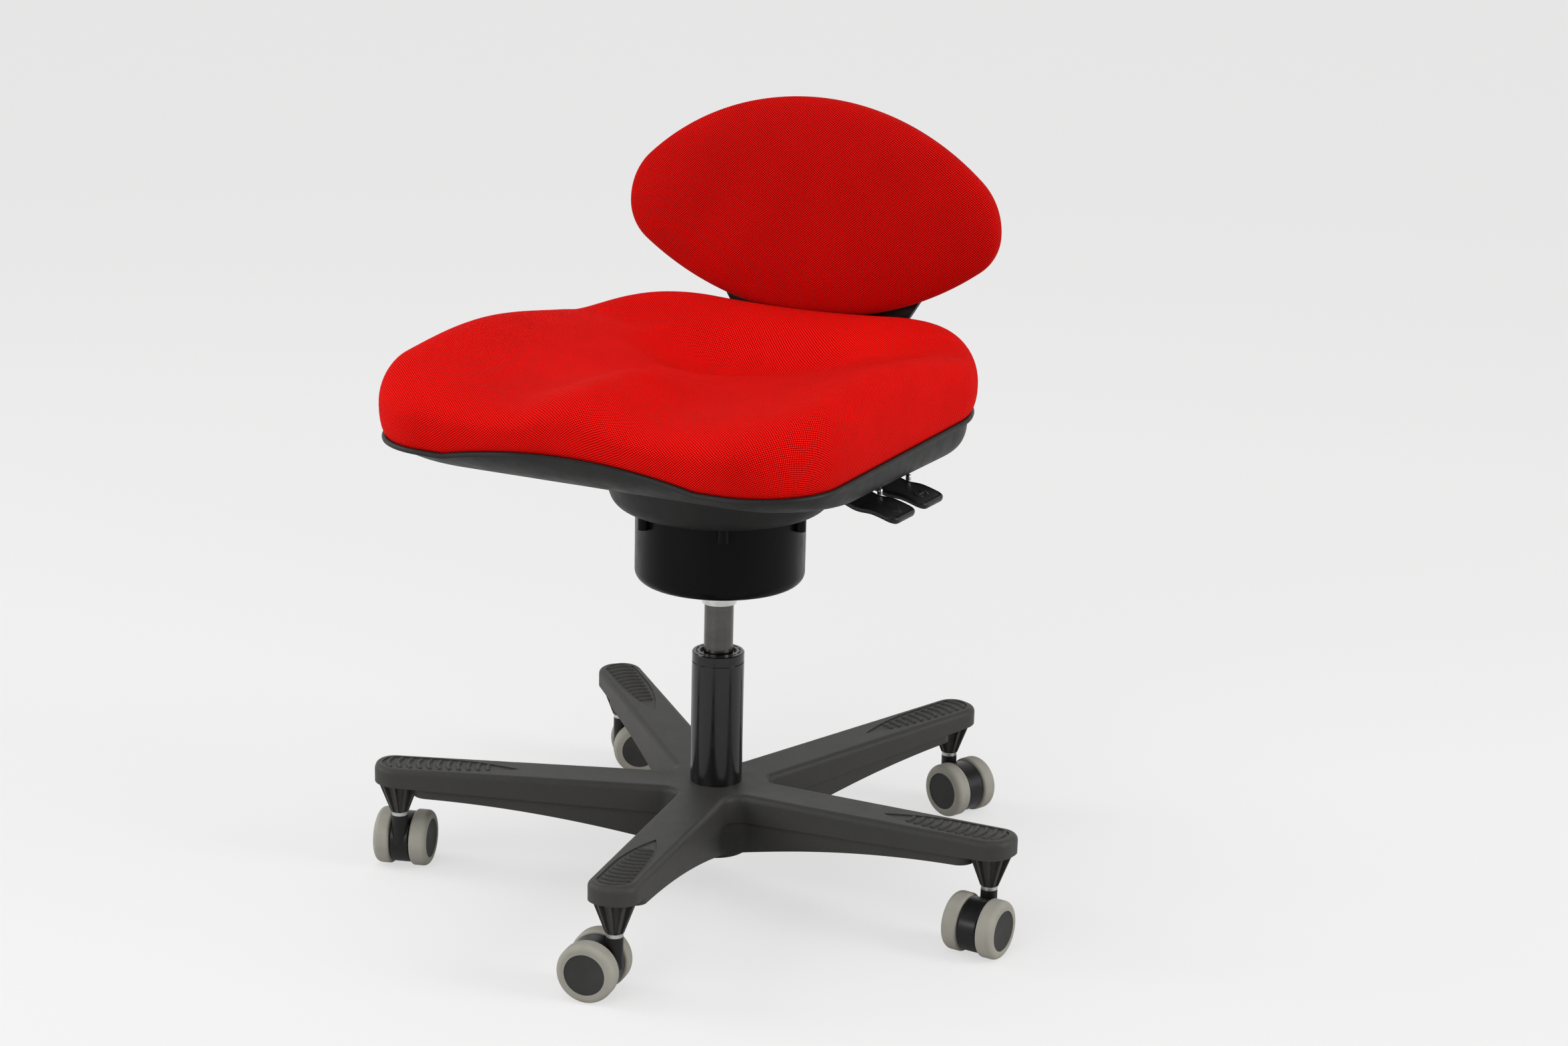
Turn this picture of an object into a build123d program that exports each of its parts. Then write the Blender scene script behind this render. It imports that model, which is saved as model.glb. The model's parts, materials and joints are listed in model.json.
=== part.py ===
from build123d import *
import os
from math import asin, cos, degrees, exp, radians, sin, sqrt

os.makedirs("parts", exist_ok=True)

# Driving dimensions, in millimetres and degrees.
# The origin is on the floor under the column axis. +Z is up, the chair faces -Y, the levers are on +X.

# Play between pieces
running_gap = 0.05        # radial play of a shaft that turns or slides in its hole
resting_gap = 0.3         # room between pieces that move past each other at a seat
passing_gap = 0.7         # room between a wheel and its fork

# Star base
arm_count = 5
first_arm_angle = -150.0
caster_circle_radius = 304.0
arm_root_width = 50.0
arm_tip_width = 46.0
arm_tip_overhang = 23.0   # from the caster stem to the end of the arm
arm_tip_corner = 20.0
crotch_radius = 14.0
hub_flat_radius = 48.0
hub_top_z = 95.0
tip_rise = 16.0           # how much higher the arm's top is at its tip
skirt_root_height = 27.0
skirt_tip_height = 18.0
top_edge_round = 5.5
web_step = 3.0            # the lower web stands in from the skirt by this
web_root_depth = 37.5
web_tip_depth = 9.0
web_arch = 0.6            # how much steeper the web's lower edge is at the hub than a straight one
web_end_gap = 14.0        # from the caster stem back to the end of the web, inside the socket
web_end_corner = 12.0
base_wall = 4.0
foot_pad_depth = 1.2      # the foot pad near each arm's tip is a shallow leaf-shaped recess
foot_pad_border = 7.0
foot_pad_length = 138.0
pocket_count = 2
hub_boss_radius = 31.0
hub_bottom_z = 25.0
socket_bottom_z = 60.5
socket_foot_diameter = 17.0
socket_head_diameter = 43.0
socket_rib_count = 10
socket_rib_thickness = 2.6
socket_wall = 3.0
socket_depth = 23.0

# Casters
caster_headings = (107.6, 189.8, 265.4, -22.7, 35.3)
wheel_diameter = 54.4
wheel_cap_diameter = 37.8
tread_width = 16.0
tread_outer_round = 5.5
tread_inner_round = 2.5
wheel_cap_inset = 0.8
wheel_cap_thickness = 3.2
wheel_rim_thickness = 2.6
wheel_boss_wall = 4.5
fork_width = 18.6
hood_diameter = 50.0
hood_ground_clearance = 6.0
hood_edge_round = 1.5
caster_trail = 18.4
neck_diameter = 15.5
axle_diameter = 6.0
axle_end_gap = 0.6
stem_diameter = 11.0
stem_grip = 17.0          # how far the stem reaches down into the fork
collar_height = 3.4

# Gas-spring column
tube_diameter = 50.0
tube_wall = 2.0
tube_bottom_z = 30.0
tube_floor = 4.0
tube_top_z = 214.5
bush_length = 80.0
cap_height = 10.5
cap_groove_height = 1.0
cap_groove_depth = 0.9
cap_edge = 1.0
cap_recess_diameter = 35.0
cap_recess_depth = 2.5
cylinder_diameter = 28.0
cylinder_wall = 1.5
cylinder_bottom_z = 100.0
cylinder_guide = 10.0
cylinder_bore_top_z = 262.0
cylinder_top_z = 338.0
cone_slope = 0.025        # radius lost per millimetre of the cylinder's cone
rod_diameter = 10.0
rod_end = 4.0             # rod below the tube's floor
rod_collar_diameter = 22.0
rod_collar_height = 3.0
piston_z = 185.0
piston_height = 12.0
bearing_diameter = 32.0
bearing_height = 6.0
clip_diameter = 18.0
clip_height = 2.0
valve_pin_diameter = 8.0
valve_pin_length = 14.0
valve_pin_height = 4.0    # how far the pin stands above the cylinder

# Tilt pivot
ring_bottom_z = 273.0
ring_bottom_diameter = 33.2
ring_top_diameter = 36.4
ring_height = 22.0
hub_body_diameter = 42.0
hub_body_top_z = 346.0
pivot_z = 332.0
pivot_pin_diameter = 12.0
gimbal_inner_diameter = 54.0
gimbal_outer_diameter = 82.0
gimbal_height = 20.0
gimbal_edge = 1.5
gimbal_pin_reach = 60.0
ear_inner_reach = 46.0
ear_width = 24.0
ear_height = 26.0

# Can and bowl
can_diameter = 161.4
can_wall = 3.0
can_bottom_z = 295.5
can_bottom_round = 11.0
can_opening_diameter = 78.0
buffer_opening_diameter = 64.0
buffer_lip = 3.0
buffer_lip_height = 2.0
bowl_bottom_z = 367.0
bowl_foot_radius = 100.0
bowl_rim_radius = 117.0
bowl_height = 49.0
bowl_wall = 4.0
bowl_round = 20.0
boss_count = 6
boss_circle_radius = 84.0
boss_diameter = 10.7
boss_height = 12.0
screw_diameter = 4.0
screw_head_diameter = 8.0
screw_head_height = 3.4
screw_head_recess = 0.5

# Seat
seat_half_width = 221.0
seat_front = 278.0        # from the column axis forwards
seat_rear = 170.0
seat_front_corner = 74.0
seat_rear_corner = 126.0
rim_front_z = 458.0
rim_rear_z = 470.0
rim_arch_rise = 13.0
rim_arch_half_width = 125.0
rim_arch_depth = 230.0
pan_wall = 4.0
pan_floor_margin = 3.0
pan_floor_corner = 100.0
board_thickness = 11.0
board_inset = 26.0
board_corner = 70.0
post_count = 6
post_circle_radius = 92.0
post_diameter = 16.0

# Shape of the cushion's top
cushion_side_height = 45.0    # above the rim
wing_rise = 32.0
wing_y = -97.0
wing_length = 158.0
side_rise = 15.0
rear_rise = 30.0
rear_start = 63.0
rear_run = 106.0
hollow_depth = 20.0
hollow_y = 15.0
hollow_width = 105.0
hollow_length = 75.0
pommel_rise = 26.0
pommel_width = 52.0
pommel_start = 30.0
pommel_run = 90.0
cushion_front_round = 69.0
cushion_rear_round = 32.0
cushion_side_round = 41.0
cushion_bulge = 5.4

# Backrest
back_half_width = 199.0
back_top_z = 734.0
back_bottom_z = 523.0
back_tip_z = 618.0
back_upper_round = 65.0
back_lower_round = 45.0
back_pad_rear_y = 188.0
back_pad_thickness = 42.0
shell_inset = 5.5         # the shell's rim stands in from the pad's outline by this
shell_rim = 14.0          # how far the shell's rim reaches in under the pad
shell_depth = 16.0
shell_wall = 4.0
neck_top_half_width = 118.0
neck_bottom_half_width = 48.0
neck_top_z = 556.0
neck_bottom_z = 446.0
neck_thickness = 6.0
bar_width = 60.0
bar_thickness = 8.0
bar_drop = 3.0            # from the pan's floor down to the bar
bar_inner_y = 20.0
bar_top_z = 516.0
bar_bend_radius = 18.0
back_screw_spread = 36.0
back_screw_heights = (462.0, 500.0)

# Levers
lever_centres = {"height_lever": -81.0, "back_lever": -21.0}
lever_width = 46.0
lever_thickness = 6.0
lever_inset = 55.0
lever_pivot_x = seat_half_width - lever_inset
lever_pivot_z = 421.5
lever_tip_reach = 63.0
lever_tip_drop = 14.0
lever_tip_corner = 9.0
lever_pin_diameter = 5.0
lever_pin_overhang = 1.5
lug_thickness = 4.0
lug_radius = 6.0

# Sizes that follow from the driving dimensions
arm_angles = [first_arm_angle + 360.0 / arm_count * number for number in range(arm_count)]
tip_reach = caster_circle_radius + arm_tip_overhang
tip_top_z = hub_top_z + tip_rise
wheel_radius = wheel_diameter / 2
cap_radius = wheel_cap_diameter / 2
wheel_inner = fork_width / 2 + passing_gap
wheel_outer = wheel_inner + tread_width
axle_radius = axle_diameter / 2
stem_radius = stem_diameter / 2
collar_top_z = socket_bottom_z - resting_gap
fork_top_z = collar_top_z - collar_height
tube_radius = tube_diameter / 2
cylinder_radius = cylinder_diameter / 2
rod_radius = rod_diameter / 2
cap_top_z = tube_top_z + cap_height
bearing_bottom_z = tube_bottom_z + tube_floor
rod_collar_z = bearing_bottom_z + bearing_height
rod_bottom_z = tube_bottom_z - rod_end
pivot_pin_radius = pivot_pin_diameter / 2
can_radius = can_diameter / 2
bowl_top_z = bowl_bottom_z + bowl_height
bar_top_face_z = bowl_top_z - bar_drop
neck_rear_y = back_pad_rear_y + shell_wall + neck_thickness


def mix(start, end, share):
    """Value a share of the way from start to end."""
    return start + (end - start) * share


def ease(share):
    """Smooth step from 0 to 1."""
    share = min(max(share, 0.0), 1.0)
    return share * share * (3.0 - 2.0 * share)


def radial_plane(angle):
    """Upright plane through the column axis: x runs outwards at the angle, y runs up."""
    turn = radians(angle)
    return Plane(origin=(0, 0, 0), x_dir=(cos(turn), sin(turn), 0), z_dir=(sin(turn), -cos(turn), 0))


def save(piece, name):
    """Label a finished piece and write it."""
    piece.part.label = name
    export_step(piece.part, f"parts/{name}.step")


# Star base: skirt, web, pockets between ribs, hub boss and caster sockets in one moulding
seam_plane = radial_plane(first_arm_angle + 180.0 / arm_count)


def arm_half_width(reach, inset):
    """Half the arm's width at a distance from the column axis."""
    return mix(arm_root_width, arm_tip_width, reach / caster_circle_radius) / 2 - inset


def skirt_bottom(reach):
    """Height of the skirt's lower edge at a distance from the column axis."""
    share = (reach - hub_flat_radius) / (tip_reach - hub_flat_radius)
    return mix(hub_top_z - skirt_root_height, tip_top_z - skirt_tip_height, share)


web_end = caster_circle_radius - web_end_gap

with BuildPart() as skirt:
    with BuildSketch(Plane.XY) as skirt_plan:
        with PolarLocations(0, arm_count, start_angle=first_arm_angle):
            Polygon(
                (0, -arm_half_width(0, 0)),
                (tip_reach, -arm_half_width(tip_reach, 0)),
                (tip_reach, arm_half_width(tip_reach, 0)),
                (0, arm_half_width(0, 0)),
                align=None,
            )
        tips = skirt_plan.vertices().filter_by(lambda corner: Vector(corner).length > web_end)
        fillet(tips, arm_tip_corner)
        crotches = skirt_plan.vertices().filter_by(lambda corner: Vector(corner).length < web_end / 2)
        fillet(crotches, crotch_radius)
    extrude(amount=tip_top_z + tip_rise)
    with BuildSketch(seam_plane):
        Polygon(
            (0, hub_top_z),
            (hub_flat_radius, hub_top_z),
            (tip_reach + arm_tip_overhang, mix(hub_top_z, tip_top_z, 1 + arm_tip_overhang / tip_reach)),
            (tip_reach + arm_tip_overhang, skirt_bottom(tip_reach + arm_tip_overhang)),
            (hub_flat_radius, skirt_bottom(hub_flat_radius)),
            (0, skirt_bottom(hub_flat_radius)),
            align=None,
        )
    revolve(axis=Axis.Z, mode=Mode.INTERSECT)
    top_faces = skirt.faces().filter_by(lambda face: face.normal_at().Z > 0.9)
    rim_edges = [
        edge
        for edge in top_faces.edges()
        if any(abs(face.normal_at().Z) < 0.5 for face in skirt.faces() if edge in face.edges())
    ]
    fillet(rim_edges, top_edge_round)

with BuildPart() as web:
    with BuildSketch(Plane.XY) as web_plan:
        with PolarLocations(0, arm_count, start_angle=first_arm_angle):
            Polygon(
                (0, -arm_half_width(0, web_step)),
                (web_end, -arm_half_width(web_end, web_step)),
                (web_end, arm_half_width(web_end, web_step)),
                (0, arm_half_width(0, web_step)),
                align=None,
            )
        crotches = web_plan.vertices().filter_by(lambda corner: Vector(corner).length < web_end / 2)
        fillet(crotches, crotch_radius + web_step)
        web_tips = web_plan.vertices().filter_by(lambda corner: Vector(corner).length > web_end)
        fillet(web_tips, web_end_corner)
    extrude(amount=tip_top_z)
    web_root_z = skirt_bottom(hub_flat_radius) - web_root_depth
    web_tip_z = skirt_bottom(web_end) - web_tip_depth
    web_run = web_end + base_wall - hub_boss_radius
    web_rise = web_tip_z - web_root_z
    with BuildSketch(seam_plane):
        with BuildLine():
            Polyline(
                (web_end + base_wall, web_tip_z),
                (web_end + base_wall, skirt_bottom(web_end) + base_wall),
                (hub_flat_radius, skirt_bottom(hub_flat_radius) + base_wall),
                (0, skirt_bottom(hub_flat_radius) + base_wall),
                (0, web_root_z),
                (hub_boss_radius, web_root_z),
            )
            Spline(
                (hub_boss_radius, web_root_z),
                (web_end + base_wall, web_tip_z),
                tangents=((web_run, (1 + web_arch) * web_rise), (web_run, (1 - web_arch) * web_rise)),
            )
        make_face()
    revolve(axis=Axis.Z, mode=Mode.INTERSECT)

with BuildPart() as pockets:
    pocket_start = arm_root_width / 2 / sin(radians(180.0 / arm_count)) + base_wall
    pocket_end = web_end - web_end_corner
    pocket_step = (pocket_end - pocket_start) / pocket_count
    pocket_inset = web_step + base_wall
    with BuildSketch(Plane.XY):
        with PolarLocations(0, arm_count, start_angle=first_arm_angle):
            for number in range(pocket_count):
                near = pocket_start + pocket_step * number
                far = near + pocket_step - base_wall
                Polygon(
                    (near, -arm_half_width(near, pocket_inset)),
                    (far, -arm_half_width(far, pocket_inset)),
                    (far, arm_half_width(far, pocket_inset)),
                    (near, arm_half_width(near, pocket_inset)),
                    align=None,
                )
    extrude(amount=tip_top_z)
    with BuildSketch(seam_plane):
        Polygon(
            (0, 0),
            (tip_reach, 0),
            (tip_reach, hub_top_z - base_wall),
            (0, hub_top_z - base_wall),
            align=None,
        )
    revolve(axis=Axis.Z, mode=Mode.INTERSECT)

with BuildPart() as socket:
    socket_head_z = skirt_bottom(caster_circle_radius) + base_wall
    rib_root = stem_radius + running_gap
    foot_radius = socket_foot_diameter / 2
    head_radius = socket_head_diameter / 2
    with BuildSketch(Plane.XZ):
        Polygon(
            (0, socket_bottom_z),
            (foot_radius - socket_wall / 2, socket_bottom_z),
            (head_radius - socket_wall * 2, socket_head_z),
            (0, socket_head_z),
            align=None,
        )
    revolve(axis=Axis.Z)
    for number in range(socket_rib_count):
        with BuildSketch(radial_plane(360.0 / socket_rib_count * number)):
            Polygon(
                (rib_root, socket_bottom_z),
                (foot_radius, socket_bottom_z),
                (head_radius, socket_head_z),
                (rib_root, socket_head_z),
                align=None,
            )
        extrude(amount=socket_rib_thickness / 2, both=True)

with BuildPart() as foot_pad:
    pad_end = tip_reach - foot_pad_border
    pad_start = tip_reach - foot_pad_length
    pad_waist = mix(pad_start, pad_end, 0.6)
    pad_half = arm_half_width(pad_end, foot_pad_border)
    pad_nose = pad_end - pad_half + foot_pad_border / 2
    with BuildSketch(Plane.XY):
        with BuildLine():
            ThreePointArc((pad_nose, -pad_half), (pad_end, 0), (pad_nose, pad_half))
            Line((pad_nose, pad_half), (pad_waist, pad_half))
            TangentArc((pad_waist, pad_half), (pad_start, 0), tangent=(-1, 0))
            TangentArc((pad_waist, -pad_half), (pad_start, 0), tangent=(-1, 0))
            Line((pad_waist, -pad_half), (pad_nose, -pad_half))
        make_face()
    extrude(amount=tip_top_z + tip_rise)
    with BuildSketch(seam_plane):
        Polygon(
            (hub_flat_radius, hub_top_z - foot_pad_depth),
            (tip_reach, tip_top_z - foot_pad_depth),
            (tip_reach, tip_top_z + tip_rise),
            (hub_flat_radius, tip_top_z + tip_rise),
            align=None,
        )
    revolve(axis=Axis.Z, mode=Mode.INTERSECT)

with BuildPart() as star_base:
    add(skirt.part)
    add(web.part)
    add(pockets.part, mode=Mode.SUBTRACT)
    with BuildSketch(Plane.XY.offset(hub_bottom_z)):
        Circle(hub_boss_radius)
    extrude(amount=hub_top_z - base_wall - hub_bottom_z)
    for angle in arm_angles:
        add(foot_pad.part.rotate(Axis.Z, angle), mode=Mode.SUBTRACT)
        stem_place = Vector(caster_circle_radius, 0, 0).rotate(Axis.Z, angle)
        add(socket.part.moved(Location(stem_place)))
        with BuildSketch(Plane(origin=stem_place + Vector(0, 0, socket_bottom_z))):
            Circle(stem_radius + running_gap)
        extrude(amount=socket_depth, mode=Mode.SUBTRACT)
    with BuildSketch(Plane.XY.offset(hub_bottom_z)):
        Circle(tube_radius)
    extrude(amount=hub_top_z, mode=Mode.SUBTRACT)
save(star_base, "star_base")


# Casters: fork with hood and neck, stem with collar, axle, and two wheels of a hub and a tread each
def wheel_plane(centre, outward):
    """Plane through a wheel's axis: x runs up, y runs outwards along the axle."""
    return Plane(origin=centre, x_dir=(0, 0, 1), z_dir=Vector(0, 0, 1).cross(outward))


def build_caster(number):
    """Write the seven pieces of one caster."""
    arm_turn = radians(arm_angles[number - 1])
    heading = radians(caster_headings[number - 1])
    foot = Plane(
        origin=(caster_circle_radius * cos(arm_turn), caster_circle_radius * sin(arm_turn), 0),
        x_dir=(cos(heading), sin(heading), 0),
        z_dir=(0, 0, 1),
    )
    axle_centre = foot.from_local_coords((caster_trail, 0, wheel_radius))
    side = Plane(origin=axle_centre, x_dir=foot.x_dir, z_dir=foot.y_dir * -1)
    neck_bottom_z = wheel_radius

    with BuildPart() as fork:
        with BuildSketch(side):
            Circle(hood_diameter / 2)
            with Locations((0, hood_ground_clearance - wheel_radius - hood_diameter / 2)):
                Rectangle(hood_diameter, hood_diameter, mode=Mode.SUBTRACT)
        extrude(amount=fork_width / 2, both=True)
        fillet(fork.edges().filter_by(GeomType.CIRCLE), hood_edge_round)
        with BuildSketch(foot.offset(neck_bottom_z)):
            Circle(neck_diameter / 2)
        extrude(amount=fork_top_z - neck_bottom_z)
        with BuildSketch(side):
            Circle(axle_radius)
        extrude(amount=fork_width, both=True, mode=Mode.SUBTRACT)
        with BuildSketch(foot.offset(fork_top_z - stem_grip)):
            Circle(stem_radius)
        extrude(amount=stem_grip, mode=Mode.SUBTRACT)
    save(fork, f"caster_{number}_fork")

    with BuildPart() as stem:
        with BuildSketch(foot.offset(fork_top_z - stem_grip)):
            Circle(stem_radius)
        extrude(amount=stem_grip + collar_height + socket_depth - passing_gap)
        with BuildSketch(foot.offset(fork_top_z)):
            Circle(neck_diameter / 2)
        extrude(amount=collar_height)
        fillet(stem.edges().group_by(Axis.Z)[-1], stem_radius / 4)
    save(stem, f"caster_{number}_stem")

    with BuildPart() as axle:
        with BuildSketch(side):
            Circle(axle_radius)
        extrude(amount=wheel_outer - wheel_cap_inset - wheel_cap_thickness - axle_end_gap, both=True)
    save(axle, f"caster_{number}_axle")

    for label, outward in (("left", foot.y_dir), ("right", foot.y_dir * -1)):
        wheel = wheel_plane(axle_centre, outward)
        wheel_axis = Axis(axle_centre, outward)
        cap_outer = wheel_outer - wheel_cap_inset
        cap_inner = cap_outer - wheel_cap_thickness
        hole_radius = axle_radius + running_gap
        with BuildPart() as hub:
            with BuildSketch(wheel):
                Polygon(
                    (hole_radius, wheel_inner),
                    (hole_radius + wheel_boss_wall, wheel_inner),
                    (hole_radius + wheel_boss_wall, cap_inner),
                    (cap_radius - wheel_rim_thickness, cap_inner),
                    (cap_radius - wheel_rim_thickness, wheel_inner),
                    (cap_radius, wheel_inner),
                    (cap_radius, cap_outer),
                    (0, cap_outer),
                    (0, cap_inner),
                    (hole_radius, cap_inner),
                    align=None,
                )
            revolve(axis=wheel_axis)
        save(hub, f"caster_{number}_hub_{label}")

        with BuildPart() as tread:
            with BuildSketch(wheel) as section:
                Polygon(
                    (cap_radius, wheel_inner),
                    (wheel_radius, wheel_inner),
                    (wheel_radius, wheel_outer),
                    (cap_radius, wheel_outer),
                    align=None,
                )
                fillet(section.vertices().group_by(Axis.Y)[-1].sort_by(Axis.X)[-1], tread_outer_round)
                fillet(section.vertices().group_by(Axis.Y)[0].sort_by(Axis.X)[-1], tread_inner_round)
            revolve(axis=wheel_axis)
        save(tread, f"caster_{number}_tread_{label}")


for caster_number in range(1, arm_count + 1):
    build_caster(caster_number)


# Column: tube with its floor, and the bush that guides the cylinder and caps the tube
with BuildPart() as column_tube:
    with BuildSketch(Plane.XZ):
        Polygon(
            (rod_radius + running_gap, tube_bottom_z),
            (tube_radius, tube_bottom_z),
            (tube_radius, tube_top_z),
            (tube_radius - tube_wall, tube_top_z),
            (tube_radius - tube_wall, bearing_bottom_z),
            (rod_radius + running_gap, bearing_bottom_z),
            align=None,
        )
    revolve(axis=Axis.Z)
save(column_tube, "column_tube")

with BuildPart() as column_bush:
    bush_bore = cylinder_radius + running_gap
    groove_radius = tube_radius - cap_groove_depth
    groove_top_z = tube_top_z + cap_groove_height
    with BuildSketch(Plane.XZ):
        Polygon(
            (bush_bore, tube_top_z - bush_length),
            (tube_radius - tube_wall, tube_top_z - bush_length),
            (tube_radius - tube_wall, tube_top_z),
            (groove_radius, tube_top_z),
            (groove_radius, groove_top_z),
            (tube_radius, groove_top_z),
            (tube_radius, cap_top_z - cap_edge),
            (tube_radius - cap_edge, cap_top_z),
            (cap_recess_diameter / 2, cap_top_z),
            (cap_recess_diameter / 2, cap_top_z - cap_recess_depth),
            (bush_bore, cap_top_z - cap_recess_depth),
            align=None,
        )
    revolve(axis=Axis.Z)
save(column_bush, "column_bush")

# Rod with its collar and piston, on a thrust bearing and held by a clip under the tube's floor
with BuildPart() as piston_rod:
    piston_radius = cylinder_radius - cylinder_wall - resting_gap
    with BuildSketch(Plane.XZ):
        Polygon(
            (0, rod_bottom_z),
            (rod_radius, rod_bottom_z),
            (rod_radius, rod_collar_z),
            (rod_collar_diameter / 2, rod_collar_z),
            (rod_collar_diameter / 2, rod_collar_z + rod_collar_height),
            (rod_radius, rod_collar_z + rod_collar_height),
            (rod_radius, piston_z),
            (piston_radius, piston_z),
            (piston_radius, piston_z + piston_height),
            (0, piston_z + piston_height),
            align=None,
        )
    revolve(axis=Axis.Z)
save(piston_rod, "piston_rod")

with BuildPart() as thrust_bearing:
    with BuildSketch(Plane.XY.offset(bearing_bottom_z)):
        Circle(bearing_diameter / 2)
        Circle(rod_radius, mode=Mode.SUBTRACT)
    extrude(amount=bearing_height)
save(thrust_bearing, "thrust_bearing")

with BuildPart() as retaining_clip:
    with BuildSketch(Plane.XY.offset(tube_bottom_z - resting_gap - clip_height)):
        Circle(clip_diameter / 2)
        Circle(rod_radius, mode=Mode.SUBTRACT)
    extrude(amount=clip_height)
save(retaining_clip, "retaining_clip")


def cone_radius(height):
    """Radius of the cylinder's cone, which starts at the bottom of the silver ring."""
    return cylinder_radius - cone_slope * (height - ring_bottom_z)


with BuildPart() as gas_cylinder:
    bore_radius = cylinder_radius - cylinder_wall
    pin_hole = valve_pin_diameter / 2 + running_gap
    pin_floor_z = cylinder_top_z + valve_pin_height - valve_pin_length - cylinder_guide
    with BuildSketch(Plane.XZ):
        Polygon(
            (rod_radius + running_gap, cylinder_bottom_z),
            (cylinder_radius, cylinder_bottom_z),
            (cylinder_radius, ring_bottom_z),
            (cone_radius(cylinder_top_z), cylinder_top_z),
            (pin_hole, cylinder_top_z),
            (pin_hole, pin_floor_z),
            (0, pin_floor_z),
            (0, cylinder_bore_top_z),
            (bore_radius, cylinder_bore_top_z),
            (bore_radius, cylinder_bottom_z + cylinder_guide),
            (rod_radius + running_gap, cylinder_bottom_z + cylinder_guide),
            align=None,
        )
    revolve(axis=Axis.Z)
save(gas_cylinder, "gas_cylinder")

with BuildPart() as valve_pin:
    with BuildSketch(Plane.XY.offset(cylinder_top_z + valve_pin_height - valve_pin_length)):
        Circle(valve_pin_diameter / 2)
    extrude(amount=valve_pin_length)
save(valve_pin, "valve_pin")

# Tilt pivot: tapered hub with two cross pins, gimbal ring with two more, can that hangs on those
with BuildPart() as taper_hub:
    ring_top_z = ring_bottom_z + ring_height
    with BuildSketch(Plane.XZ):
        Polygon(
            (cone_radius(ring_bottom_z), ring_bottom_z),
            (ring_bottom_diameter / 2, ring_bottom_z),
            (ring_top_diameter / 2, ring_top_z),
            (hub_body_diameter / 2, ring_top_z + ring_height / 2),
            (hub_body_diameter / 2, hub_body_top_z),
            (cone_radius(cylinder_top_z), hub_body_top_z),
            (cone_radius(cylinder_top_z), cylinder_top_z),
            align=None,
        )
    revolve(axis=Axis.Z)
    pin_root = mix(cone_radius(pivot_z), hub_body_diameter / 2, 0.5)
    pin_end = mix(gimbal_inner_diameter, gimbal_outer_diameter, 0.8) / 2
    for direction in (1, -1):
        with BuildSketch(Plane(origin=(direction * pin_root, 0, pivot_z), z_dir=(direction, 0, 0))):
            Circle(pivot_pin_radius)
        extrude(amount=pin_end - pin_root)
save(taper_hub, "taper_hub")

with BuildPart() as tilt_gimbal:
    with BuildSketch(Plane.XY.offset(pivot_z - gimbal_height / 2)):
        Circle(gimbal_outer_diameter / 2)
        Circle(gimbal_inner_diameter / 2, mode=Mode.SUBTRACT)
    extrude(amount=gimbal_height)
    chamfer(tilt_gimbal.edges().filter_by(GeomType.CIRCLE), gimbal_edge)
    with BuildSketch(Plane(origin=(0, 0, pivot_z), z_dir=(1, 0, 0))):
        Circle(pivot_pin_radius + running_gap)
    extrude(amount=gimbal_outer_diameter, both=True, mode=Mode.SUBTRACT)
    gimbal_pin_root = mix(gimbal_inner_diameter, gimbal_outer_diameter, 0.5) / 2
    for direction in (1, -1):
        with BuildSketch(Plane(origin=(0, direction * gimbal_pin_root, pivot_z), z_dir=(0, direction, 0))):
            Circle(pivot_pin_radius)
        extrude(amount=gimbal_pin_reach - gimbal_pin_root)
save(tilt_gimbal, "tilt_gimbal")

boss_angles = [-90.0 + 360.0 / boss_count * (number + 0.5) for number in range(boss_count)]
boss_bottom_z = bowl_bottom_z - boss_height

with BuildPart() as mechanism_can:
    with BuildSketch(Plane.XZ) as can_section:
        Polygon(
            (can_opening_diameter / 2, can_bottom_z),
            (can_radius, can_bottom_z),
            (can_radius, bowl_bottom_z),
            (can_radius - can_wall, bowl_bottom_z),
            (can_radius - can_wall, can_bottom_z + can_wall),
            (can_opening_diameter / 2, can_bottom_z + can_wall),
            align=None,
        )
        fillet(can_section.vertices().sort_by_distance((can_radius, can_bottom_z))[0], can_bottom_round)
        inner_corner = (can_radius - can_wall, can_bottom_z + can_wall)
        fillet(can_section.vertices().sort_by_distance(inner_corner)[0], can_bottom_round - can_wall)
    revolve(axis=Axis.Z)
    ear_depth = can_radius - can_wall / 2 - ear_inner_reach
    for direction in (1, -1):
        with BuildSketch(Plane(origin=(0, direction * ear_inner_reach, pivot_z), z_dir=(0, direction, 0))):
            Rectangle(ear_width, ear_height)
        extrude(amount=ear_depth)
    with BuildSketch(Plane(origin=(0, 0, pivot_z), z_dir=(0, 1, 0))):
        Circle(pivot_pin_radius + running_gap)
    extrude(amount=gimbal_pin_reach + passing_gap, both=True, mode=Mode.SUBTRACT)
    with BuildSketch(Plane.XY.offset(boss_bottom_z)):
        for angle in boss_angles:
            with PolarLocations(boss_circle_radius, 1, start_angle=angle):
                Circle(boss_diameter / 2)
    extrude(amount=boss_height)
    with BuildSketch(Plane.XY.offset(boss_bottom_z)):
        for angle in boss_angles:
            with PolarLocations(boss_circle_radius, 1, start_angle=angle):
                Circle(screw_diameter / 2)
    extrude(amount=boss_height, mode=Mode.SUBTRACT)
    with BuildSketch(Plane.XY.offset(boss_bottom_z)):
        for angle in boss_angles:
            with PolarLocations(boss_circle_radius, 1, start_angle=angle):
                Circle(screw_head_diameter / 2)
    extrude(amount=screw_head_recess + screw_head_height, mode=Mode.SUBTRACT)
save(mechanism_can, "mechanism_can")

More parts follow.
